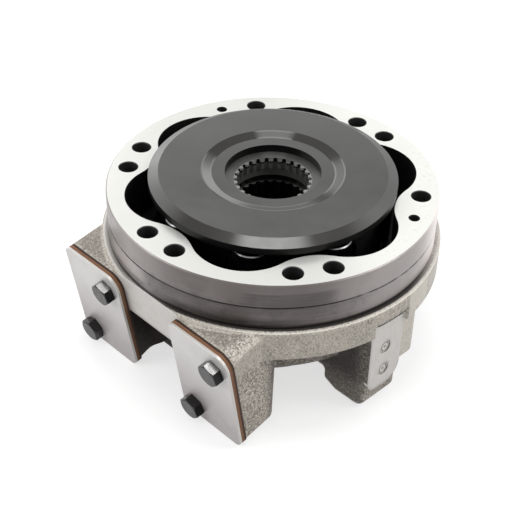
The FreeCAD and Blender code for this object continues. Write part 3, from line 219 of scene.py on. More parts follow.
class Finish:
    """A node material that is built up step by step."""

    def __init__(self, name):
        self.material = bpy.data.materials.new(name)
        self.material.use_nodes = True
        tree = self.material.node_tree
        self.nodes, self.links = tree.nodes, tree.links
        self.nodes.clear()
        self.shader = self.nodes.new("ShaderNodeBsdfPrincipled")
        output = self.nodes.new("ShaderNodeOutputMaterial")
        self.links.new(self.shader.outputs["BSDF"], output.inputs["Surface"])
        coordinates = self.nodes.new("ShaderNodeTexCoord")
        self.place = coordinates.outputs["Object"]
        self.facing = coordinates.outputs["Normal"]

    def feed(self, socket, value):
        """Links the socket to another one, or sets it to a number, colour or vector."""
        if isinstance(value, bpy.types.NodeSocket):
            self.links.new(value, socket)
        elif isinstance(value, (int, float)):
            socket.default_value = value
        elif len(value) == 3 and socket.type == "RGBA":
            socket.default_value = (*value, 1.0)
        else:
            socket.default_value = value

    def add(self, kind, inputs=(), **settings):
        """A new node with these settings and inputs."""
        node = self.nodes.new(kind)
        for key, value in settings.items():
            setattr(node, key, value)
        for key, value in dict(inputs).items():
            self.feed(node.inputs[key], value)
        return node

    def sums(self, operation, first, second=0.0, third=0.0):
        """The result of a calculation with numbers."""
        node = self.add("ShaderNodeMath", {0: first, 1: second, 2: third}, operation=operation)
        return node.outputs[0]

    def vectors(self, operation, *inputs):
        """The outputs of a calculation with vectors."""
        return self.add("ShaderNodeVectorMath", dict(enumerate(inputs)),
                        operation=operation).outputs

    def split(self, vector):
        """The vector's parts along X, Y and Z."""
        return tuple(self.add("ShaderNodeSeparateXYZ", {0: vector}).outputs)

    def along(self, vector, direction):
        """How far the vector points in this direction."""
        return self.vectors("DOT_PRODUCT", vector, direction)["Value"]

    def across(self):
        """The place on the surface, dropped onto the plane across the motor axis."""
        return self.vectors("MULTIPLY", self.place, (1, 1, 0))[0]

    def radius(self):
        """The distance from the motor axis."""
        return self.vectors("LENGTH", self.across())["Value"]

    def toward(self, angle, near, far):
        """1 on the side of the motor that lies at this angle, 0 away from it, in degrees.

        It is 1 up to near degrees from that side, and 0 from far degrees on.
        """
        way = self.vectors("NORMALIZE", self.across())[0]
        turn = math.radians(angle)
        lean = self.along(way, (math.cos(turn), math.sin(turn), 0.0))
        return self.between(lean, math.cos(math.radians(far)), math.cos(math.radians(near)))

    def eased(self, radius):
        """The way the surface faces, with its edges shown rounded by this much."""
        return self.add("ShaderNodeBevel", {"Radius": radius}, samples=6).outputs[0]

    def edges(self, eased):
        """1 along the rounded edges, 0 on the faces."""
        faces = self.add("ShaderNodeNewGeometry").outputs["True Normal"]
        return self.between(self.along(eased, faces), 0.985, 0.86)

    def between(self, value, low, high, out_low=0.0, out_high=1.0):
        """value's place between low and high, eased at both ends and held outside them."""
        node = self.add("ShaderNodeMapRange",
                        {"Value": value, "From Min": low, "From Max": high,
                         "To Min": out_low, "To Max": out_high},
                        interpolation_type="SMOOTHSTEP")
        return node.outputs["Result"]

    def above(self, value, edge, ease):
        """1 where value is over the edge, 0 under it, eased by this much on either side."""
        return self.between(value, edge - ease, edge + ease)

    def below(self, value, edge, ease):
        """1 where value is under the edge, 0 over it, eased by this much on either side."""
        return self.between(value, edge + ease, edge - ease)

    def within(self, value, low, high, ease=0.0002):
        """1 where value lies between low and high, 0 outside, eased outward by this much."""
        return self.all_of(self.between(value, low - ease, low),
                           self.between(value, high + ease, high))

    def graded(self, value, at_zero, at_one):
        """A number that goes in a straight line from at_zero to at_one as value goes 0 to 1."""
        return self.sums("MULTIPLY_ADD", value, at_one - at_zero, at_zero)

    def all_of(self, first, *others):
        """1 where all of the masks are 1. A number among them weakens the rest."""
        for other in others:
            first = self.sums("MULTIPLY", first, other)
        return first

    def any_of(self, first, *others):
        """1 where at least one of the masks is 1."""
        for other in others:
            first = self.sums("MAXIMUM", first, other)
        return first

    def none_of(self, mask):
        """1 where the mask is 0, and the other way about."""
        return self.sums("SUBTRACT", 1.0, mask)

    def noise(self, size, detail=3.0, roughness=0.55, vector=None):
        """Cloudy noise with features of about this size, in metres."""
        node = self.add("ShaderNodeTexNoise",
                        {"Vector": vector or self.place, "Scale": 1 / size, "Detail": detail,
                         "Roughness": roughness})
        return node.outputs["Fac"]

    def cells(self, size):
        """The distance from the middle of cells of about this size, in metres."""
        node = self.add("ShaderNodeTexVoronoi", {"Vector": self.place, "Scale": 1 / size},
                        feature="F1")
        return node.outputs["Distance"]

    def stretched(self, factors):
        """The place, scaled along X, Y and Z, which draws noise out where a factor is small."""
        return self.vectors("MULTIPLY", self.place, factors)[0]

    def rings(self, pitch):
        """Noise that changes only with the distance from the motor axis, as lathe marks do."""
        line = self.add("ShaderNodeCombineXYZ", {0: self.radius()}).outputs[0]
        return self.noise(pitch, 2.0, 0.6, line)

    def mix(self, factor, first, second):
        """A colour between first, where the factor is 0, and second, where it is 1."""
        node = self.add("ShaderNodeMix", data_type="RGBA")
        self.feed(node.inputs[0], factor)
        self.feed(node.inputs[6], first)
        self.feed(node.inputs[7], second)
        return node.outputs[2]

    def over(self, tone, colour, mask, strength=1.0):
        """The tone with a colour laid over it where the mask is 1, at this strength."""
        return self.mix(self.all_of(mask, strength), tone, colour)

    def varied(self, colour, pattern, at_low, at_high, low=0.3, high=0.7):
        """Shades of a colour that follow a pattern, from one factor of it to another."""
        return self.mix(self.between(pattern, low, high), toned(colour, at_low),
                        toned(colour, at_high))

    def bump(self, height, depth, strength=1.0, normal=None):
        """The way a surface faces whose height follows a pattern, this many metres deep."""
        inputs = {"Height": height, "Distance": depth, "Strength": strength}
        if normal is not None:
            inputs["Normal"] = normal
        return self.add("ShaderNodeBump", inputs).outputs[0]

    def done(self, colour, roughness, metal, normal=None, specular=None):
        """The material, once its shader has been fed."""
        self.feed(self.shader.inputs["Base Color"], colour)
        self.feed(self.shader.inputs["Roughness"], roughness)
        self.feed(self.shader.inputs["Metallic"], metal)
        if normal is not None:
            self.feed(self.shader.inputs["Normal"], normal)
        if specular is not None:
            self.shader.inputs["Specular IOR Level"].default_value = specular
        return self.material


def dress(node, material):
    """Puts the material on every slot of a CAD node."""
    mesh = NODES[node].data
    mesh.materials.clear()
    mesh.materials.append(material)


def as_object(name, mesh):
    """Turns a built mesh into an object of the scene, with smooth faces and crisp edges."""
    data = bpy.data.meshes.new(name)
    mesh.to_mesh(data)
    mesh.free()
    data.shade_smooth()
    data.set_sharp_from_angle(angle=SHARP_ANGLE)
    piece = bpy.data.objects.new(name, data)
    bpy.context.scene.collection.objects.link(piece)
    return piece


def casting_zones(f):
    """Masks for the places on the casting that differ in finish and dirtiness, and where light
    and shade are painted.
    """
    x, y, z = f.split(f.place)
    facing_x, facing_y, up = f.split(f.facing)
    radius = f.radius()
    on_top = f.all_of(f.between(up, 0.90, 0.95), f.above(z, LEDGE_LEVEL - 0.00015, 0.00005))
    on_tab = f.all_of(f.between(facing_x, 0.97, 0.99),
                      f.within(x, TAB_FACE - 0.0002, TAB_FACE + 0.0002),
                      f.below(z, TAB_TOP, 0.0002))
    on_pads = f.between(f.along(f.facing, PAD_OUTWARD), 0.985, 0.995)
    pocket = f.all_of(f.below(radius, POCKET_RADIUS, 0.0001), f.above(z, POCKET_FLOOR, 0.0005))
    lobe_floor = f.all_of(on_top, f.below(radius, LOBE_RADIUS, 0.0005))
    ledge = f.all_of(on_top, f.above(radius, RING_RADIUS - 0.00125, 0.00025))
    boss = f.all_of(f.above(x, 0.065, 0.005), f.above(y, -0.028, 0.002),
                    f.below(z, -0.063, 0.003))
    to_toe = f.between(z, -0.122, -0.098, 0.15, 1.0)
    to_tab = f.between(x, 0.116, 0.100, 0.48, 1.0)
    return SimpleNamespace(
        milled=f.any_of(on_tab, on_pads, on_top),
        inside=f.any_of(pocket, lobe_floor),
        ledge=ledge,
        ledge_foot=f.all_of(ledge, f.below(radius, RING_RADIUS + 0.0024, 0.0007)),
        lip_highlight=f.all_of(f.above(radius, FLANGE_RADIUS - 0.00065, 0.00015),
                     f.above(z, LEDGE_LEVEL - 0.0009, 0.0003),
                     f.toward(FRONT + 38, 34, 62)),
        flange=f.all_of(f.above(radius, FLANGE_RADIUS - 0.0015, 0.0005),
                        f.within(z, FLANGE_FOOT, LEDGE_LEVEL)),
        under_flange=f.all_of(f.below(z, -0.0610, 0.0015), f.below(radius, 0.116, 0.003)),
        shelf=f.all_of(f.between(up, 0.55, 0.90), f.above(radius, 0.12365, 0.00085)),
        arm_gap=f.all_of(f.below(f.sums("ABSOLUTE", x), 0.0340, 0.0005),
                         f.below(y, -0.0760, 0.0020), f.below(z, -0.07075, 0.00075)),
        arm_ridge=f.all_of(f.between(f.along(f.facing, (0.68, 0.0, 0.73)), 0.72, 0.90),
                           f.below(y, -0.080, 0.004)),
        boss=boss,
        boss_side=f.all_of(f.above(x, 0.1164, 0.0004), f.above(y, 0.0130, 0.0005)),
        leg=f.all_of(boss, f.between(facing_y, -0.25, -0.75), to_toe, to_tab),
        lit_right=f.toward(RIGHT + 4, 10, 42),
        left=f.toward(LEFT - 2, 20, 62),
        right=f.toward(RIGHT - 4, 20, 75),
    )


def cast_skin(f, values, zones, grain):
    """Shot-blasted skin with pits, bright grains, worn edges and dirty shelves, painted shade
    under the flange, on the leg and between the port arms, and painted highlights on the right.
    """
    # Painted shade: a near-black colour for the deepest shadows.
    deep_shade = toned(values.grime_and_shade, 0.35)
    broad = f.noise(0.016, 4.0, 0.6)
    skin = f.varied(values.skin, broad, 0.88, 1.10, 0.3, 0.72)
    skin = f.over(skin, values.hollow, f.between(grain.coarse, 0.52, 0.30), 0.25)
    skin = f.over(skin, values.fleck, zones.flange, 0.18)

    # Painted shade with dirty oil: the leg, the underside of the flange and the gap between the
    # port arms are darkened.
    patchy = f.between(f.noise(0.010, 4.0, 0.6), 0.1, 0.62, 0.6, 1.0)
    dirt_and_shade = f.any_of(zones.leg, f.all_of(zones.under_flange, 0.6))
    dirt_and_shade = f.any_of(f.all_of(dirt_and_shade, patchy), zones.arm_gap)
    skin = f.over(skin, values.grime_and_shade, dirt_and_shade)
    skin = f.over(skin, values.grime_and_shade, f.all_of(zones.shelf, patchy), 0.52)

    pits = f.all_of(f.between(grain.fine, 0.49, 0.38), grain.calm,
                    f.between(dirt_and_shade, 1.0, 0.5, 0.0, 0.92))
    skin = f.over(skin, toned(values.hollow, 0.62), pits)
    bright = f.all_of(f.between(grain.fine, 0.53, 0.64), grain.calm)
    skin = f.over(skin, values.fleck, bright, f.graded(dirt_and_shade, 0.86, 0.14))
    # Painted shade: the gap between the port arms and the leg darkened further, in clots on the
    # leg.
    skin = f.over(skin, deep_shade, f.any_of(f.all_of(zones.arm_gap, 0.94),
                                       f.all_of(zones.leg, 0.72)))
    clots = f.between(f.noise(values.grain * 1.8, 3.0, 0.7), 0.42, 0.56)
    skin = f.over(skin, deep_shade, f.all_of(zones.leg, clots), 0.85)

    # Painted highlights: pale grains on the arms' rounded edges that face up and to the right,
    # and on the side of the boss beside the milled face.
    ridge = f.all_of(zones.arm_ridge, f.between(grain.fine, 0.40, 0.60))
    skin = f.over(skin, values.fleck, f.any_of(f.all_of(ridge, 0.6),
                                               f.all_of(zones.boss_side, 0.55)))
    # Painted highlight: glare on the flange and the boss toward the right.
    lit = f.all_of(f.any_of(zones.flange, zones.boss), zones.lit_right)
    skin = f.over(skin, toned(values.machined, 1.12), lit, 0.55)

    worn = f.all_of(f.edges(grain.rounded), f.between(grain.fine, 0.30, 0.62),
                    f.none_of(zones.boss), f.between(dirt_and_shade, 1.0, 0.6))
    skin = f.over(skin, values.fleck, worn, 0.75)
    nicks = f.between(f.noise(0.0022, 1.0, 0.5, f.stretched((1.0, 1.0, 0.35))), 0.34, 0.27)
    return f.over(skin, values.hollow, f.all_of(nicks, zones.flange), 0.5)


def milled_face(f, values, grain):
    """Milled iron: fine strokes, a few stains and the pores of the casting."""
    strokes = f.noise(0.0009, 2.0, 0.5, f.stretched((1.0, 1.0, 0.06)))
    face = f.varied(values.machined, strokes, 0.97, 1.03)
    stain = f.between(f.noise(0.009, 4.0, 0.65), 0.55, 0.75)
    face = f.over(face, values.hollow, stain, 0.14)
    pores = f.between(grain.fine, 0.60, 0.72)
    return f.over(face, values.hollow, pores, 0.3)


def casting_finish(values):
    """The casting: rough skin, milled faces, a ledge round the ring with painted light and
    shade, and a near-black interior.
    """
    f = Finish("cast_skin")
    zones = casting_zones(f)
    grain = SimpleNamespace(fine=f.noise(values.grain, 3.0, 0.7),
                            coarse=f.noise(values.grain * 3.5, 2.0, 0.5),
                            calm=f.graded(zones.flange, 1.0, 0.5),
                            rounded=f.eased(values.corner))
    skin = cast_skin(f, values, zones, grain)
    tone = f.mix(zones.milled, skin, milled_face(f, values, grain))

    # Painted light: the ledge shows its pale milled face on the left and right, where a
    # highlight falls, and rough skin elsewhere.
    ledge_lit = f.any_of(zones.left, f.all_of(zones.right, 0.5))
    tone = f.over(tone, skin, zones.ledge, f.graded(ledge_lit, 0.8, 0.1))
    # Painted shadow at the ring's foot, weaker on the left and right where light falls.
    lit = f.any_of(f.all_of(zones.left, 0.50), f.all_of(zones.lit_right, 0.70))
    tone = f.over(tone, toned(values.grime_and_shade, 0.35), zones.ledge_foot,
                  f.sums("SUBTRACT", 0.92, lit))
    # Painted highlight: a bright line along the flange's upper edge toward the front.
    lip_highlight = f.all_of(zones.lip_highlight, f.between(grain.fine, 0.25, 0.45))
    tone = f.over(tone, toned(values.fleck, 1.15), lip_highlight, 0.8)
    tone = f.over(tone, values.inside, zones.inside)

    plain = f.any_of(zones.milled, zones.inside)
    rough = f.between(grain.fine, 0.3, 0.7, 0.50, 0.68)
    roughness = f.sums("MULTIPLY_ADD", plain, -0.18, rough)
    height = f.sums("MULTIPLY_ADD", grain.coarse, 1.3, grain.fine)
    depth = f.graded(plain, 1.0, 0.04)
    normal = f.bump(f.all_of(height, depth, grain.calm), values.depth, 0.8, grain.rounded)
    return f.done(tone, roughness, 0.25, normal, specular=0.15)


def ring_face(f, values, smudge):
    """Ground top face with painted shade to the front and left, a painted highlight to the
    right, dirty spots and finger marks.
    """
    face = f.varied(values.face, smudge, 1.0, 0.93, 0.35, 0.75)
    # Painted light: darker toward the front and the left, paler toward the right.
    face = f.over(face, toned(values.face, 0.90), f.toward(FRONT, 15, 60), 0.6)
    face = f.over(face, toned(values.face, 0.92), f.toward(LEFT - 2, 20, 75))
    face = f.over(face, toned(values.face, 1.13), f.toward(RIGHT + 8, 50, 85))
    spots = f.between(f.cells(0.0085), 0.10, 0.04)
    sparse = f.between(f.noise(0.018, 1.0), 0.60, 0.68)
    face = f.over(face, toned(values.mark, 0.8), f.all_of(spots, sparse), 0.75)
    fingers = f.all_of(f.between(f.noise(0.0035, 4.0, 0.7), 0.52, 0.72),
                       f.between(smudge, 0.4, 0.6))
    touched = f.any_of(f.toward(LEFT - 2, 12, 30), f.toward(RIGHT - 4, 14, 40))
    return f.over(face, values.mark, fingers, f.graded(touched, 0.25, 0.60))


def ring_rim(f, values, turned):
    """Turned side: a painted sheen and glare on its left and right, broken up by an oil film,
    painted shade on the front and below the seam, the seam, rust and a painted shadow at the
    foot.
    """
    z = f.split(f.place)[2]
    film = f.noise(0.030, 3.0, 0.55, f.stretched((1.0, 1.0, 0.5)))
    # Painted sheen on the left and right of the side, broken up by the oil film, with faint film
    # patches all round.
    wiped_and_sheen = f.any_of(f.toward(LEFT + 16, 8, 48), f.all_of(f.toward(RIGHT - 32, 14, 46), 0.95))
    wiped_and_sheen = f.all_of(wiped_and_sheen, f.between(film, 0.15, 0.55, 0.6, 1.0))
    wiped_and_sheen = f.any_of(wiped_and_sheen, f.all_of(f.between(film, 0.45, 0.75), 0.28))
    rim = f.mix(wiped_and_sheen, values.rim, values.wiped_and_sheen)
    # Painted glare: the side turns near white toward the far right.
    rim = f.over(rim, toned(values.wiped_and_sheen, 1.75), f.toward(RIGHT + 4, 10, 44))
    rim = f.over(rim, toned(values.wiped_and_sheen, 2.7), f.toward(RIGHT + 6, 14, 36))

    shaded = f.all_of(f.below(z, SEAM_LEVEL, SEAM_HALF), f.toward(FRONT - 24, 40, 75),
                      f.between(z, SEAM_LEVEL - 0.0061, SEAM_LEVEL - SEAM_HALF, 0.40, 0.55))
    rim = f.over(rim, toned(values.rim, 0.42), shaded)
    mottle = f.all_of(f.between(f.noise(0.009, 5.0, 0.7), 0.46, 0.66),
                      f.below(z, -0.0150, 0.0050), f.toward(FRONT - 44, 60, 90))
    rim = f.over(rim, toned(values.rim, 0.5), mottle, 0.5)
    # Painted shade: the upper band darkened on the front.
    oily = f.all_of(f.toward(FRONT + 7, 11, 17), f.within(z, -0.0176, -0.0085, 0.0030))
    rim = f.over(rim, toned(values.rim, 0.45), oily, 0.65)
    # Painted shade: a dark wedge low on the front.
    wedge = f.all_of(f.toward(FRONT - 14, 10, 30), f.below(z, -0.02875, 0.00325),
                     f.between(film, 0.20, 0.50, 0.6, 1.0))
    rim = f.over(rim, toned(values.rim, 0.14), wedge, 0.92)
    shine = f.all_of(f.toward(LEFT + 33, 4, 15), f.within(z, -0.0270, -0.0195, 0.0040))
    rim = f.over(rim, toned(values.wiped_and_sheen, 1.6), shine, 0.7)

    patches = f.between(f.noise(0.006, 3.0, 0.6), 0.30, 0.55)
    seam = f.all_of(f.within(z, SEAM_LEVEL - SEAM_HALF, SEAM_LEVEL + SEAM_HALF),
                    f.none_of(f.toward(RIGHT + 6, 12, 42)))
    rim = f.over(rim, toned(values.rim, 0.15), seam, f.graded(patches, 0.45, 0.95))
    rusty = f.all_of(f.below(z, LEDGE_LEVEL + 0.0029, 0.0025),
                     f.between(f.noise(0.0016, 3.0), 0.42, 0.62))
    rim = f.over(rim, values.rust, rusty, 0.7)
    # Painted shadow: a near-black line at the foot of the side, weaker toward the right.
    rim = f.over(rim, toned(values.rim, 0.05), f.below(z, LEDGE_LEVEL + 0.0025, 0.0008),
                 f.graded(f.toward(RIGHT + 4, 10, 40), 0.92, 0.20))
    return f.over(rim, values.wiped_and_sheen, f.between(turned, 0.4, 0.8), 0.16)


def ring_finish(values):
    """The cam ring: ground face, turned side, oily track and slightly paler bolt holes."""
    f = Finish("ring_steel")
    x, y, _ = f.split(f.place)
    on_top = f.between(f.split(f.facing)[2], 0.90, 0.97)
    smudge = f.noise(0.020, 3.0, 0.6)
    turned = f.noise(0.0007, 2.0, 0.6, f.stretched((0.02, 0.02, 1.0)))
    grinding = f.noise(0.0005, 2.0, 0.6, f.stretched((1.0, 0.05, 1.0)))

    turn = f.sums("MULTIPLY", f.sums("ARCTAN2", y, x), LOBES)
    thick_parts = f.between(f.sums("COSINE", turn), -0.20, -0.35)
    holes = f.all_of(thick_parts, f.above(f.radius(), 0.09715, 0.00035))
    side = f.over(values.track, toned(values.track, 2.6), holes)
    outside = f.above(f.radius(), RING_RADIUS - 0.00135, 0.00015)
    side = f.over(side, ring_rim(f, values, turned), outside)
    tone = f.mix(on_top, side, ring_face(f, values, smudge))
    roughness = f.between(smudge, 0.3, 0.7, 0.32, 0.42)
    height = f.mix(on_top, turned, grinding)
    return f.done(tone, roughness, 0.5, f.bump(height, 0.00001, 0.4))


def disc_top(f, values, radius, lathe, cloud):
    """Phosphated disc with lathe marks, a painted sheen toward the back, and painted reflections
    and highlights on its chamfer, slope, recess edges and tooth ends.
    """
    disc = f.varied(values.disc, cloud, 0.93, 1.08, 0.3, 0.75)
    # Painted sheen: the flat paler toward the back.
    turn = math.radians(BACK)
    to_back = f.along(f.place, (math.cos(turn), math.sin(turn), 0.0))
    disc = f.over(disc, toned(values.disc, 1.5), f.between(to_back, -0.02, 0.09), 0.5)
    disc = f.over(disc, toned(values.disc, 1.5), f.between(lathe, 0.45, 0.8), 0.2)

    # Painted reflections: the chamfer and the slope turn bright on some sides and stay dark on
    # the others.
    chamfer = f.any_of(f.all_of(f.toward(LEFT - 2, 30, 52), 0.85), f.toward(FRONT + 1, 9, 20),
                       f.all_of(f.toward(RIGHT - 4, 26, 52), 0.85))
    chamfer = f.all_of(chamfer, f.above(radius, 0.061, 0.001))
    recess = f.any_of(f.toward(BACK, 9, 20), f.all_of(f.toward(LEFT + 8, 12, 34), 0.9),
                      f.all_of(f.toward(RIGHT - 8, 12, 34), 0.9),
                      f.all_of(f.toward(FRONT, 24, 46), 0.6))
    recess = f.all_of(recess, f.below(radius, 0.057, 0.001))
    glinting = f.any_of(chamfer, recess)
    slope = f.mix(glinting, values.slope, values.bright)
    # Painted highlights: thin bright lines at the recess edges and a bright crescent on the
    # left.
    rims = f.any_of(f.within(radius, 0.0432, 0.0446), f.within(radius, 0.0500, 0.0512))
    rims = f.all_of(rims, f.between(glinting, 0.1, 0.6))
    slope = f.over(slope, toned(values.bright, 2.6), rims, 0.3)
    crescent = f.all_of(f.toward(LEFT + 32, 14, 44), f.within(radius, 0.0440, 0.0500))
    slope = f.over(slope, toned(values.bright, 2.3), crescent, 0.8)

    flat = f.between(f.split(f.facing)[2], 0.985, 0.998)
    top = f.mix(flat, slope, disc)
    pilot_ledge = f.below(radius, 0.03425, 0.00015)
    top = f.over(top, toned(values.disc, 1.25), pilot_ledge, 0.5)
    # Painted highlight: the tooth ends bright on the left and right.
    tooth_ends = f.all_of(f.below(radius, 0.0278, 0.0002),
                          f.any_of(f.toward(LEFT, 35, 70), f.toward(RIGHT, 35, 70)))
    return f.over(top, toned(values.disc, 3.4), tooth_ends, 0.8)


def block_finish(values):
    """The cylinder block: turned disc, near-black sides with painted light on the right, and a
    spline whose teeth are paler near their tops.
    """
    f = Finish("block_steel")
    z = f.split(f.place)[2]
    radius = f.radius()
    lathe = f.rings(0.00045)
    cloud = f.noise(0.025, 3.0, 0.6)
    up = f.between(f.split(f.facing)[2], 0.55, 0.7)

    disc_rim = f.all_of(f.above(radius, DISC_RADIUS - 0.00035, 0.00015),
                        f.above(z, 0.0005, 0.0010))
    teeth = f.all_of(f.below(radius, 0.02675, 0.00025), f.above(z, 0.0, 0.0004))
    relief = f.all_of(f.below(radius, 0.02875, 0.00025), f.within(z, -0.0130, -0.0014))
    # Painted light: the sides and the disc's rim paler on the right.
    right = f.toward(RIGHT - 4, 30, 66)
    side = f.over(values.bore, toned(values.bore, 6.0), right)
    side = f.over(side, toned(values.disc, 0.28), disc_rim, f.graded(right, 0.3, 1.0))
    side = f.over(side, toned(values.disc, 3.0), teeth, f.below(z, 0.0065, 0.0005))
    side = f.over(side, toned(values.disc, 1.1), relief)

    tone = f.mix(up, side, disc_top(f, values, radius, lathe, cloud))
    roughness = f.between(cloud, 0.3, 0.7, 0.34, 0.44)
    dull = f.all_of(f.any_of(teeth, relief), f.none_of(up))
    return f.done(tone, roughness, f.graded(dull, 0.8, 0.2), f.bump(lathe, 0.00002, 0.4))


def roller_finish(values):
    """Near-black rollers, darker still on their ends, with a painted highlight line round their
    end edges.
    """
    f = Finish("roller_steel")
    z = f.split(f.place)[2]
    tilt = f.split(f.facing)[2]
    # Painted highlight: a thin bright line on the end chamfers.
    line = f.all_of(f.between(tilt, 0.56, 0.68), f.between(tilt, 0.88, 0.78),
                    f.within(z, ROLLER_TOP - 0.0008, ROLLER_TOP - 0.0004))
    cloud = f.noise(0.008, 3.0, 0.6)
    body = f.varied(values.roller, cloud, 0.6, 1.3)
    end = f.between(tilt, 0.35, 0.56)
    body = f.over(body, toned(values.roller, 0.2), end)
    tone = f.over(body, values.bevel, line)
    return f.done(tone, f.between(cloud, 0.3, 0.7, 0.20, 0.30), 0.95,
                  f.bump(f.noise(0.0006), 0.00001, 0.4))


def metal_finish(name, tone, roughness=0.35, metal=0.85):
    """Ground or drawn steel with faint clouds and a fine grain."""
    f = Finish(name)
    fine = f.noise(0.0008, 2.0, 0.6)
    shade = f.varied(tone, f.noise(0.012, 3.0, 0.6), 0.86, 1.12)
    return f.done(shade, f.between(fine, 0.3, 0.7, roughness - 0.06, roughness + 0.08), metal,
                  f.bump(fine, 0.00002, 0.5))


def soft_finish(name, tone, roughness=0.7):
    """Rubber or plastic: dull, with a faint bloom."""
    f = Finish(name)
    bloom = f.between(f.noise(0.006, 4.0, 0.6), 0.35, 0.8)
    shade = f.mix(bloom, tone, [min(1.0, part * 1.8 + 0.01) for part in tone])
    return f.done(shade, roughness, 0.0, f.bump(f.noise(0.0006), 0.00003, 0.4))


def plate_finish(values):
    """Zinc plated covers, darker toward their foot, with cloudy plating and bright edges."""
    f = Finish("cover_plate")
    front = f.between(f.along(f.facing, PAD_OUTWARD), 0.95, 0.99)
    cloud = f.noise(0.022, 4.0, 0.62)
    to_foot = f.between(f.split(f.place)[2], -0.060, -0.118)
    tone = f.mix(to_foot, values.plate, values.foot)
    tone = f.over(tone, toned(values.plate, 0.86), f.between(cloud, 0.3, 0.75), 0.5)
    specks = f.between(f.noise(0.0013, 3.0, 0.7), 0.62, 0.74)
    tone = f.over(tone, values.edge, specks, 0.3)
    wiping = f.noise(0.0010, 3.0, 0.6, f.stretched((1.0, 1.0, 0.09)))
    tone = f.over(tone, values.edge, f.between(wiping, 0.5, 0.8), 0.12)
    tone = f.mix(front, values.edge, tone)
    roughness = f.between(cloud, 0.3, 0.7, 0.36, 0.48)
    return f.done(tone, roughness, 0.35, f.bump(wiping, 0.00001, 0.3))


def gasket_finish(name, tone):
    """Edge of a pressed fibre sheet: fine layers that run with the sheet."""
    f = Finish(name)
    deep = f.along(f.place, PAD_OUTWARD)
    sideways = f.sums("MULTIPLY", f.split(f.place)[0], 0.04)
    sheet = f.add("ShaderNodeCombineXYZ", {0: deep, 1: sideways}).outputs[0]
    layers = f.noise(0.0006, 3.0, 0.6, sheet)
    fibre = f.noise(0.0012, 3.0, 0.65)
    shade = f.varied(tone, layers, 0.55, 1.35)
    shade = f.over(shade, toned(tone, 1.7), f.between(fibre, 0.5, 0.8), 0.4)
    return f.done(shade, 0.75, 0.0, f.bump(layers, 0.00012, 0.6))


def bolt_finish(values):
    """Oiled bolts with a forged front, painted highlights on their upper flats and painted shade
    on the flats that face away from the light.
    """
    f = Finish("bolt_steel")
    front = f.between(f.along(f.facing, PAD_OUTWARD), 0.9, 0.98)
    cloud = f.noise(0.004, 3.0, 0.6)
    forged = f.noise(0.0012, 3.0, 0.65)
    tone = f.varied(values.head, cloud, 0.8, 1.2, 0.3, 0.75)
    # Painted highlight: the flats that face up and to the right, broken up by noise.
    glinting = f.between(f.along(f.facing, (0.68, -0.11, 0.73)), 0.80, 0.93)
    broken = f.between(f.noise(0.0022, 3.0, 0.6), 0.30, 0.55, 0.55, 1.0)
    tone = f.over(tone, values.polished, glinting, broken)
    # Painted shade: near-black flats, the upper ones on the lower bolts and the right-hand ones
    # on the upper bolts.
    lower_bolt = f.below(f.split(f.place)[2], -0.084, 0.002)
    upper_flats = f.between(f.along(f.facing, (0.62, -0.20, 0.76)), 0.55, 0.80)
    side_flats = f.between(f.along(f.facing, (0.95, 0.05, -0.30)), 0.60, 0.85)
    dim = f.any_of(f.all_of(lower_bolt, upper_flats),
                   f.all_of(f.none_of(lower_bolt), side_flats))
    tone = f.over(tone, toned(values.head, 0.2), dim, 0.85)
    tone = f.over(tone, f.varied(values.head, forged, 0.95, 1.9), front)
    rounded = f.eased(0.0004)
    tone = f.over(tone, toned(values.head, 3.0), f.edges(rounded), 0.5)
    return f.done(tone, f.between(cloud, 0.3, 0.7, 0.24, 0.34), 0.85,
                  f.bump(forged, 0.00005, 0.5, rounded))


def burr_finish(values):
    """Torn iron, near black as a painted shadow line under the flange's edge, and bright where
    freshly broken.
    """
    f = Finish("burr_iron")
    torn = f.noise(0.0009, 3.0, 0.7)
    tone = f.mix(f.between(torn, 0.56, 0.62), toned(values.grime_and_shade, 0.12), values.fleck)
    return f.done(tone, f.between(torn, 0.3, 0.7, 0.45, 0.65), 0.3, f.bump(torn, 0.0002, 0.7))


def plug_places():
    """The centres of the two gallery plugs' outer faces, and their radius."""
    low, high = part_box("gallery_plugs")
    radius = (high.y - low.y) / 2
    middle = (low.y + high.y) / 2
    return [Vector((high.x, middle, z)) for z in (high.z - radius, low.z + radius)], radius


def plug_finish(values):
    """Steel plugs whose pressed ring and dot are darkened, as dirty oil and painted shade."""
    f = Finish("plug_steel")
    places, radius = plug_places()
    marks = []
    for place in places:
        shifted = f.vectors("ADD", f.place, (0.0, -place.y, -place.z))[0]
        out = f.vectors("LENGTH", f.vectors("MULTIPLY", shifted, (0.0, 1.0, 1.0))[0])["Value"]
        marks += [f.within(out, radius * 0.66, radius * 0.77),
                  f.between(out, radius * 0.26, radius * 0.16)]
    cloud = f.noise(0.003, 3.0, 0.6)
    tone = f.varied(values.plug, cloud, 0.88, 1.06)
    # Dirty oil and painted shade in the pressed ring and dot.
    tone = f.over(tone, values.groove, f.any_of(*marks), 0.75)
    return f.done(tone, f.between(cloud, 0.3, 0.7, 0.36, 0.46), 0.5,
                  f.bump(f.noise(0.0007), 0.00004, 0.5))


def close_hoops(mesh, hoops):
    """Faces between each hoop of corners and the next. A hoop of one corner is a tip."""
    for first, second in zip(hoops, hoops[1:]):
        around = max(len(first), len(second))
        for i in range(around):
            after = (i + 1) % around
            corners = [first[i % len(first)], first[after % len(first)],
                       second[after % len(second)], second[i % len(second)]]
            mesh.faces.new(list(dict.fromkeys(corners)))


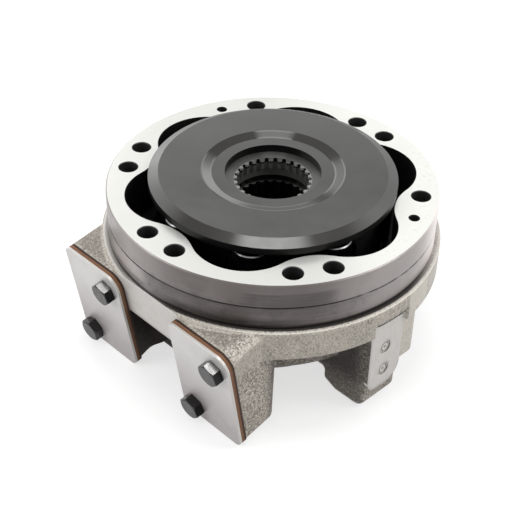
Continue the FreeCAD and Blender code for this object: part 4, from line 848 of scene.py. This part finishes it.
def make_plugs(values):
    """Two turned plugs with a ring and a centre dot pressed into their faces."""
    places, radius = plug_places()
    low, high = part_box("gallery_plugs")
    deep, press, bevel, around = high.x - low.x, values.press, 0.0004, 56
    # Depth from the outer face and distance from the middle, from the back to the dot
    profile = [(-deep, 0.0), (-deep, radius - bevel), (-deep + bevel, radius),
               (-bevel, radius), (0.0, radius - bevel), (0.0, radius * 0.79),
               (-press, radius * 0.74), (-press, radius * 0.69), (0.0, radius * 0.64),
               (0.0, radius * 0.27), (-press * 0.7, radius * 0.20), (-press * 1.6, 0.0)]
    mesh = bmesh.new()
    for place in places:
        hoops = []
        for depth, out in profile:
            turns = [2 * math.pi * i / around for i in range(around if out else 1)]
            hoops.append([mesh.verts.new(place + Vector((depth, out * math.cos(turn),
                                                         out * math.sin(turn))))
                          for turn in turns])
        close_hoops(mesh, hoops)
    bmesh.ops.recalc_face_normals(mesh, faces=mesh.faces)
    return as_object("pressed_plugs", mesh)


def make_burr(values):
    """A ragged burr along the flange's edge, where the cutter that milled the side face left."""
    reach = FLANGE_RADIUS - values.burr * 0.35
    start, end, level = -0.0218, 0.0140, -0.0486
    steps, around = 90, 7
    mesh = bmesh.new()
    hoops = []
    for step in range(steps + 1):
        way = step / steps
        y = start + (end - start) * way
        wander = noise.noise(Vector((way * 23.0, 3.1, 0.4))) * 0.0005
        thick = values.burr * (0.55 + 0.5 * abs(noise.noise(Vector((way * 61.0, 0.7, 9.2)))))
        thick *= min(1.0, 8 * way, 8 * (1 - way)) + 0.05
        middle = Vector((math.sqrt(reach ** 2 - y ** 2), y, level + wander))
        outward = Vector((middle.x, middle.y, 0)).normalized()
        hoop = []
        for corner in range(around):
            turn = 2 * math.pi * corner / around
            ragged = 0.7 + 0.6 * noise.noise(Vector((way * 90.0, corner * 1.7, 5.0)))
            shift = outward * math.cos(turn) + Vector((0, 0, math.sin(turn) * 1.2))
            hoop.append(mesh.verts.new(middle + shift * thick * ragged))
        hoops.append(hoop)
    close_hoops(mesh, hoops)
    mesh.faces.new(hoops[0])
    mesh.faces.new(hoops[-1])
    bmesh.ops.recalc_face_normals(mesh, faces=mesh.faces)
    return as_object("milling_burr", mesh)


class MOTOR_OT_casting(bpy.types.Operator):
    """Give the rear case its rough cast skin and its milled faces"""
    bl_idname = "motor.casting"
    bl_label = "Rear case"

    def execute(self, context):
        dress("rear_case", casting_finish(context.scene.motor_casting))
        return {"FINISHED"}


class MOTOR_OT_burr(bpy.types.Operator):
    """Add the burr that milling left over the side face"""
    bl_idname = "motor.burr"
    bl_label = "Milling burr"

    def execute(self, context):
        values = context.scene.motor_casting
        burr = make_burr(values)
        burr.data.materials.append(burr_finish(values))
        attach(burr, "case")
        return {"FINISHED"}


class MOTOR_OT_ring(bpy.types.Operator):
    """Give the cam ring its ground face and turned rim"""
    bl_idname = "motor.ring"
    bl_label = "Cam ring"

    def execute(self, context):
        dress("cam_ring", ring_finish(context.scene.motor_ring))
        return {"FINISHED"}


class MOTOR_OT_block(bpy.types.Operator):
    """Give the cylinder block its turned and phosphated finish"""
    bl_idname = "motor.block"
    bl_label = "Cylinder block"

    def execute(self, context):
        dress("cylinder_block", block_finish(context.scene.motor_block))
        return {"FINISHED"}


class MOTOR_OT_pistons(bpy.types.Operator):
    """Finish the pistons with their rings, bearing shells and rollers"""
    bl_idname = "motor.pistons"
    bl_label = "Pistons and rollers"

    def execute(self, context):
        values = context.scene.motor_pistons
        finishes = {
            "roller": roller_finish(values),
            "piston": metal_finish("piston_steel", values.piston, 0.3, 0.9),
            "roller_shell": metal_finish("shell_bronze", values.shell, 0.42, 0.7),
            "piston_ring": soft_finish("ring_plastic", values.ring, 0.5),
        }
        for name, finish in finishes.items():
            for number in range(1, PISTONS + 1):
                dress("%s_%d" % (name, number), finish)
        return {"FINISHED"}


class MOTOR_OT_covers(bpy.types.Operator):
    """Finish the port covers with their gaskets and liners"""
    bl_idname = "motor.covers"
    bl_label = "Port covers"

    def execute(self, context):
        values = context.scene.motor_covers
        finishes = {
            "port_cover": plate_finish(values),
            "port_gasket": gasket_finish("gasket", values.gasket),
            "port_liner": gasket_finish("liner", values.liner),
        }
        for name, finish in finishes.items():
            for side in ("left", "right"):
                dress("%s_%s" % (name, side), finish)
        return {"FINISHED"}


class MOTOR_OT_fasteners(bpy.types.Operator):
    """Finish the cover bolts, plugs, dowels, pins, springs and seals"""
    bl_idname = "motor.fasteners"
    bl_label = "Bolts and plugs"

    def execute(self, context):
        values = context.scene.motor_fasteners
        bolt = bolt_finish(values)
        steel = metal_finish("inner_steel", values.steel, 0.35, 0.9)
        rubber = soft_finish("seal_rubber", values.rubber)
        for side in ("left", "right"):
            dress("cover_bolts_%s" % side, bolt)
        for node in ("locating_dowels", "distributor", "distributor_pins",
                     "distributor_springs"):
            dress(node, steel)
        for node in ("ring_seal", "distributor_seal_upper", "distributor_seal_middle",
                     "distributor_seal_lower"):
            dress(node, rubber)
        dress("drain_plug", metal_finish("drain_plug_steel", values.plug, 0.34, 0.6))
        dress("drain_washer", metal_finish("copper", values.copper, 0.4, 0.8))
        plugs = make_plugs(values)
        plugs.data.materials.append(plug_finish(values))
        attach(plugs, "case")
        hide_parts("gallery_plugs")
        return {"FINISHED"}


def place_camera(values):
    """A camera that stands where the photograph was taken from."""
    back = Vector((0, -math.cos(values.rise), math.sin(values.rise)))
    right = Vector((1, 0, 0))
    up = back.cross(right)
    ahead = -back
    for angle, axis in ((values.yaw, "up"), (values.pitch, "right"), (values.roll, "ahead")):
        pivot = {"up": up, "right": right, "ahead": ahead}[axis]
        turn = Matrix.Rotation(angle, 3, pivot)
        right, up, ahead = turn @ right, turn @ up, turn @ ahead
    view = Matrix((right, up, -ahead)).transposed().to_4x4()
    view.translation = Vector((0, -values.away, values.height))
    camera = bpy.data.objects.new("camera", bpy.data.cameras.new("camera"))
    camera.data.sensor_width = 36.0
    camera.data.lens = values.lens
    camera.data.clip_start = 0.01
    camera.matrix_world = Matrix.Rotation(values.turn, 4, "Z") @ view
    bpy.context.scene.collection.objects.link(camera)
    bpy.context.scene.camera = camera


def place_light(name, place, target, size, power):
    """A soft round lamp that stands at one place and looks at another."""
    light = bpy.data.lights.new(name, "AREA")
    light.shape = "DISK"
    light.size = size
    light.energy = power
    lamp = bpy.data.objects.new(name, light)
    lamp.location = place
    lamp.rotation_mode = "QUATERNION"
    lamp.rotation_quaternion = (Vector(target) - Vector(place)).to_track_quat("-Z", "Y")
    bpy.context.scene.collection.objects.link(lamp)


def seen_share(nodes, links):
    """1 for rays that show the background: from the camera, by reflection or through glass."""
    rays = nodes.new("ShaderNodeLightPath")
    total = rays.outputs["Is Camera Ray"]
    for other in ("Is Glossy Ray", "Is Transmission Ray"):
        node = nodes.new("ShaderNodeMath")
        node.operation = "MAXIMUM"
        links.new(total, node.inputs[0])
        links.new(rays.outputs[other], node.inputs[1])
        total = node.outputs[0]
    return total


def make_floor(values):
    """A square of pale paper under the motor, which shows white away from it."""
    half = values.floor_size / 2
    level = CAD_BOX[0].z
    mesh = bpy.data.meshes.new("floor")
    mesh.from_pydata([(-half, -half, level), (half, -half, level), (half, half, level),
                      (-half, half, level)], [], [(0, 1, 2, 3)])
    floor = bpy.data.objects.new("floor", mesh)
    bpy.context.scene.collection.objects.link(floor)
    f = Finish("floor_paper")
    paper = f.noise(0.004, 3.0, 0.6)
    # How strongly the seen floor glows, from near the motor out to its far edge
    white = f.between(f.radius(), 0.25, 1.0, 0.66, 0.82)
    glow = f.all_of(seen_share(f.nodes, f.links), white)
    f.shader.inputs["Emission Color"].default_value = (1, 1, 1, 1)
    f.links.new(glow, f.shader.inputs["Emission Strength"])
    mesh.materials.append(f.done(f.varied(values.floor, paper, 0.99, 1.0), 0.9, 0.0))


def make_world(values):
    """Even light from all round, in front of a background that shows white."""
    world = bpy.data.worlds.new("studio")
    world.use_nodes = True
    nodes, links = world.node_tree.nodes, world.node_tree.links
    nodes.clear()
    mix = nodes.new("ShaderNodeMixShader")
    output = nodes.new("ShaderNodeOutputWorld")
    links.new(seen_share(nodes, links), mix.inputs[0])
    for socket, strength in ((mix.inputs[1], values.ambient), (mix.inputs[2], 1.0)):
        background = nodes.new("ShaderNodeBackground")
        background.inputs["Color"].default_value = (1.0, 1.0, 1.0, 1.0)
        background.inputs["Strength"].default_value = strength
        links.new(background.outputs[0], socket)
    links.new(mix.outputs[0], output.inputs[0])
    bpy.context.scene.world = world


class MOTOR_OT_stage(bpy.types.Operator):
    """Set the floor, the lights, the background and the camera"""
    bl_idname = "motor.stage"
    bl_label = "Stage"

    def execute(self, context):
        values = context.scene.motor_stage
        context.scene.view_settings.view_transform = "Standard"
        make_world(values)
        make_floor(values)
        place_light("top_light", (0.0, 0.0, 1.35), (0, 0, 0), 0.6, values.top_power)
        place_light("side_light", (-0.6, -1.2, 0.6), (0, 0, -0.05), 0.8, values.side_power)
        place_light("right_light", (0.78, 0.52, 0.78), (0, 0, 0), 0.6, values.rim_power)
        place_light("left_light", (-1.15, 0.36, 0.42), (0, 0, 0), 0.6,
                    values.rim_power * 0.6)
        place_camera(values)
        return {"FINISHED"}


OPERATORS = (MOTOR_OT_casting, MOTOR_OT_burr, MOTOR_OT_ring, MOTOR_OT_block, MOTOR_OT_pistons,
             MOTOR_OT_covers, MOTOR_OT_fasteners, MOTOR_OT_stage)
SETTINGS = {
    "motor_casting": CastingSettings, "motor_ring": RingSettings,
    "motor_block": BlockSettings, "motor_pistons": PistonSettings,
    "motor_covers": CoverSettings, "motor_fasteners": FastenerSettings,
    "motor_stage": StageSettings,
}


class MOTOR_PT_panel(bpy.types.Panel):
    """The motor's finishes and its stage"""
    bl_idname = "MOTOR_PT_panel"
    bl_label = "Drive motor"
    bl_space_type = "VIEW_3D"
    bl_region_type = "UI"
    bl_category = "Drive motor"

    def draw(self, context):
        for operator in OPERATORS:
            self.layout.operator(operator.bl_idname)
        for name in SETTINGS:
            box = self.layout.box()
            values = getattr(context.scene, name)
            for key in values.__annotations__:
                box.prop(values, key)


def register():
    for name, kind in SETTINGS.items():
        bpy.utils.register_class(kind)
        setattr(bpy.types.Scene, name, PointerProperty(type=kind))
    for kind in OPERATORS + (MOTOR_PT_panel,):
        bpy.utils.register_class(kind)


def unregister():
    for kind in reversed(OPERATORS + (MOTOR_PT_panel,)):
        bpy.utils.unregister_class(kind)
    for name, kind in SETTINGS.items():
        delattr(bpy.types.Scene, name)
        bpy.utils.unregister_class(kind)


def main():
    register()
    for operator in OPERATORS:
        group, name = operator.bl_idname.split(".")
        getattr(getattr(bpy.ops, group), name)()


if __name__ == "__main__":
    main()
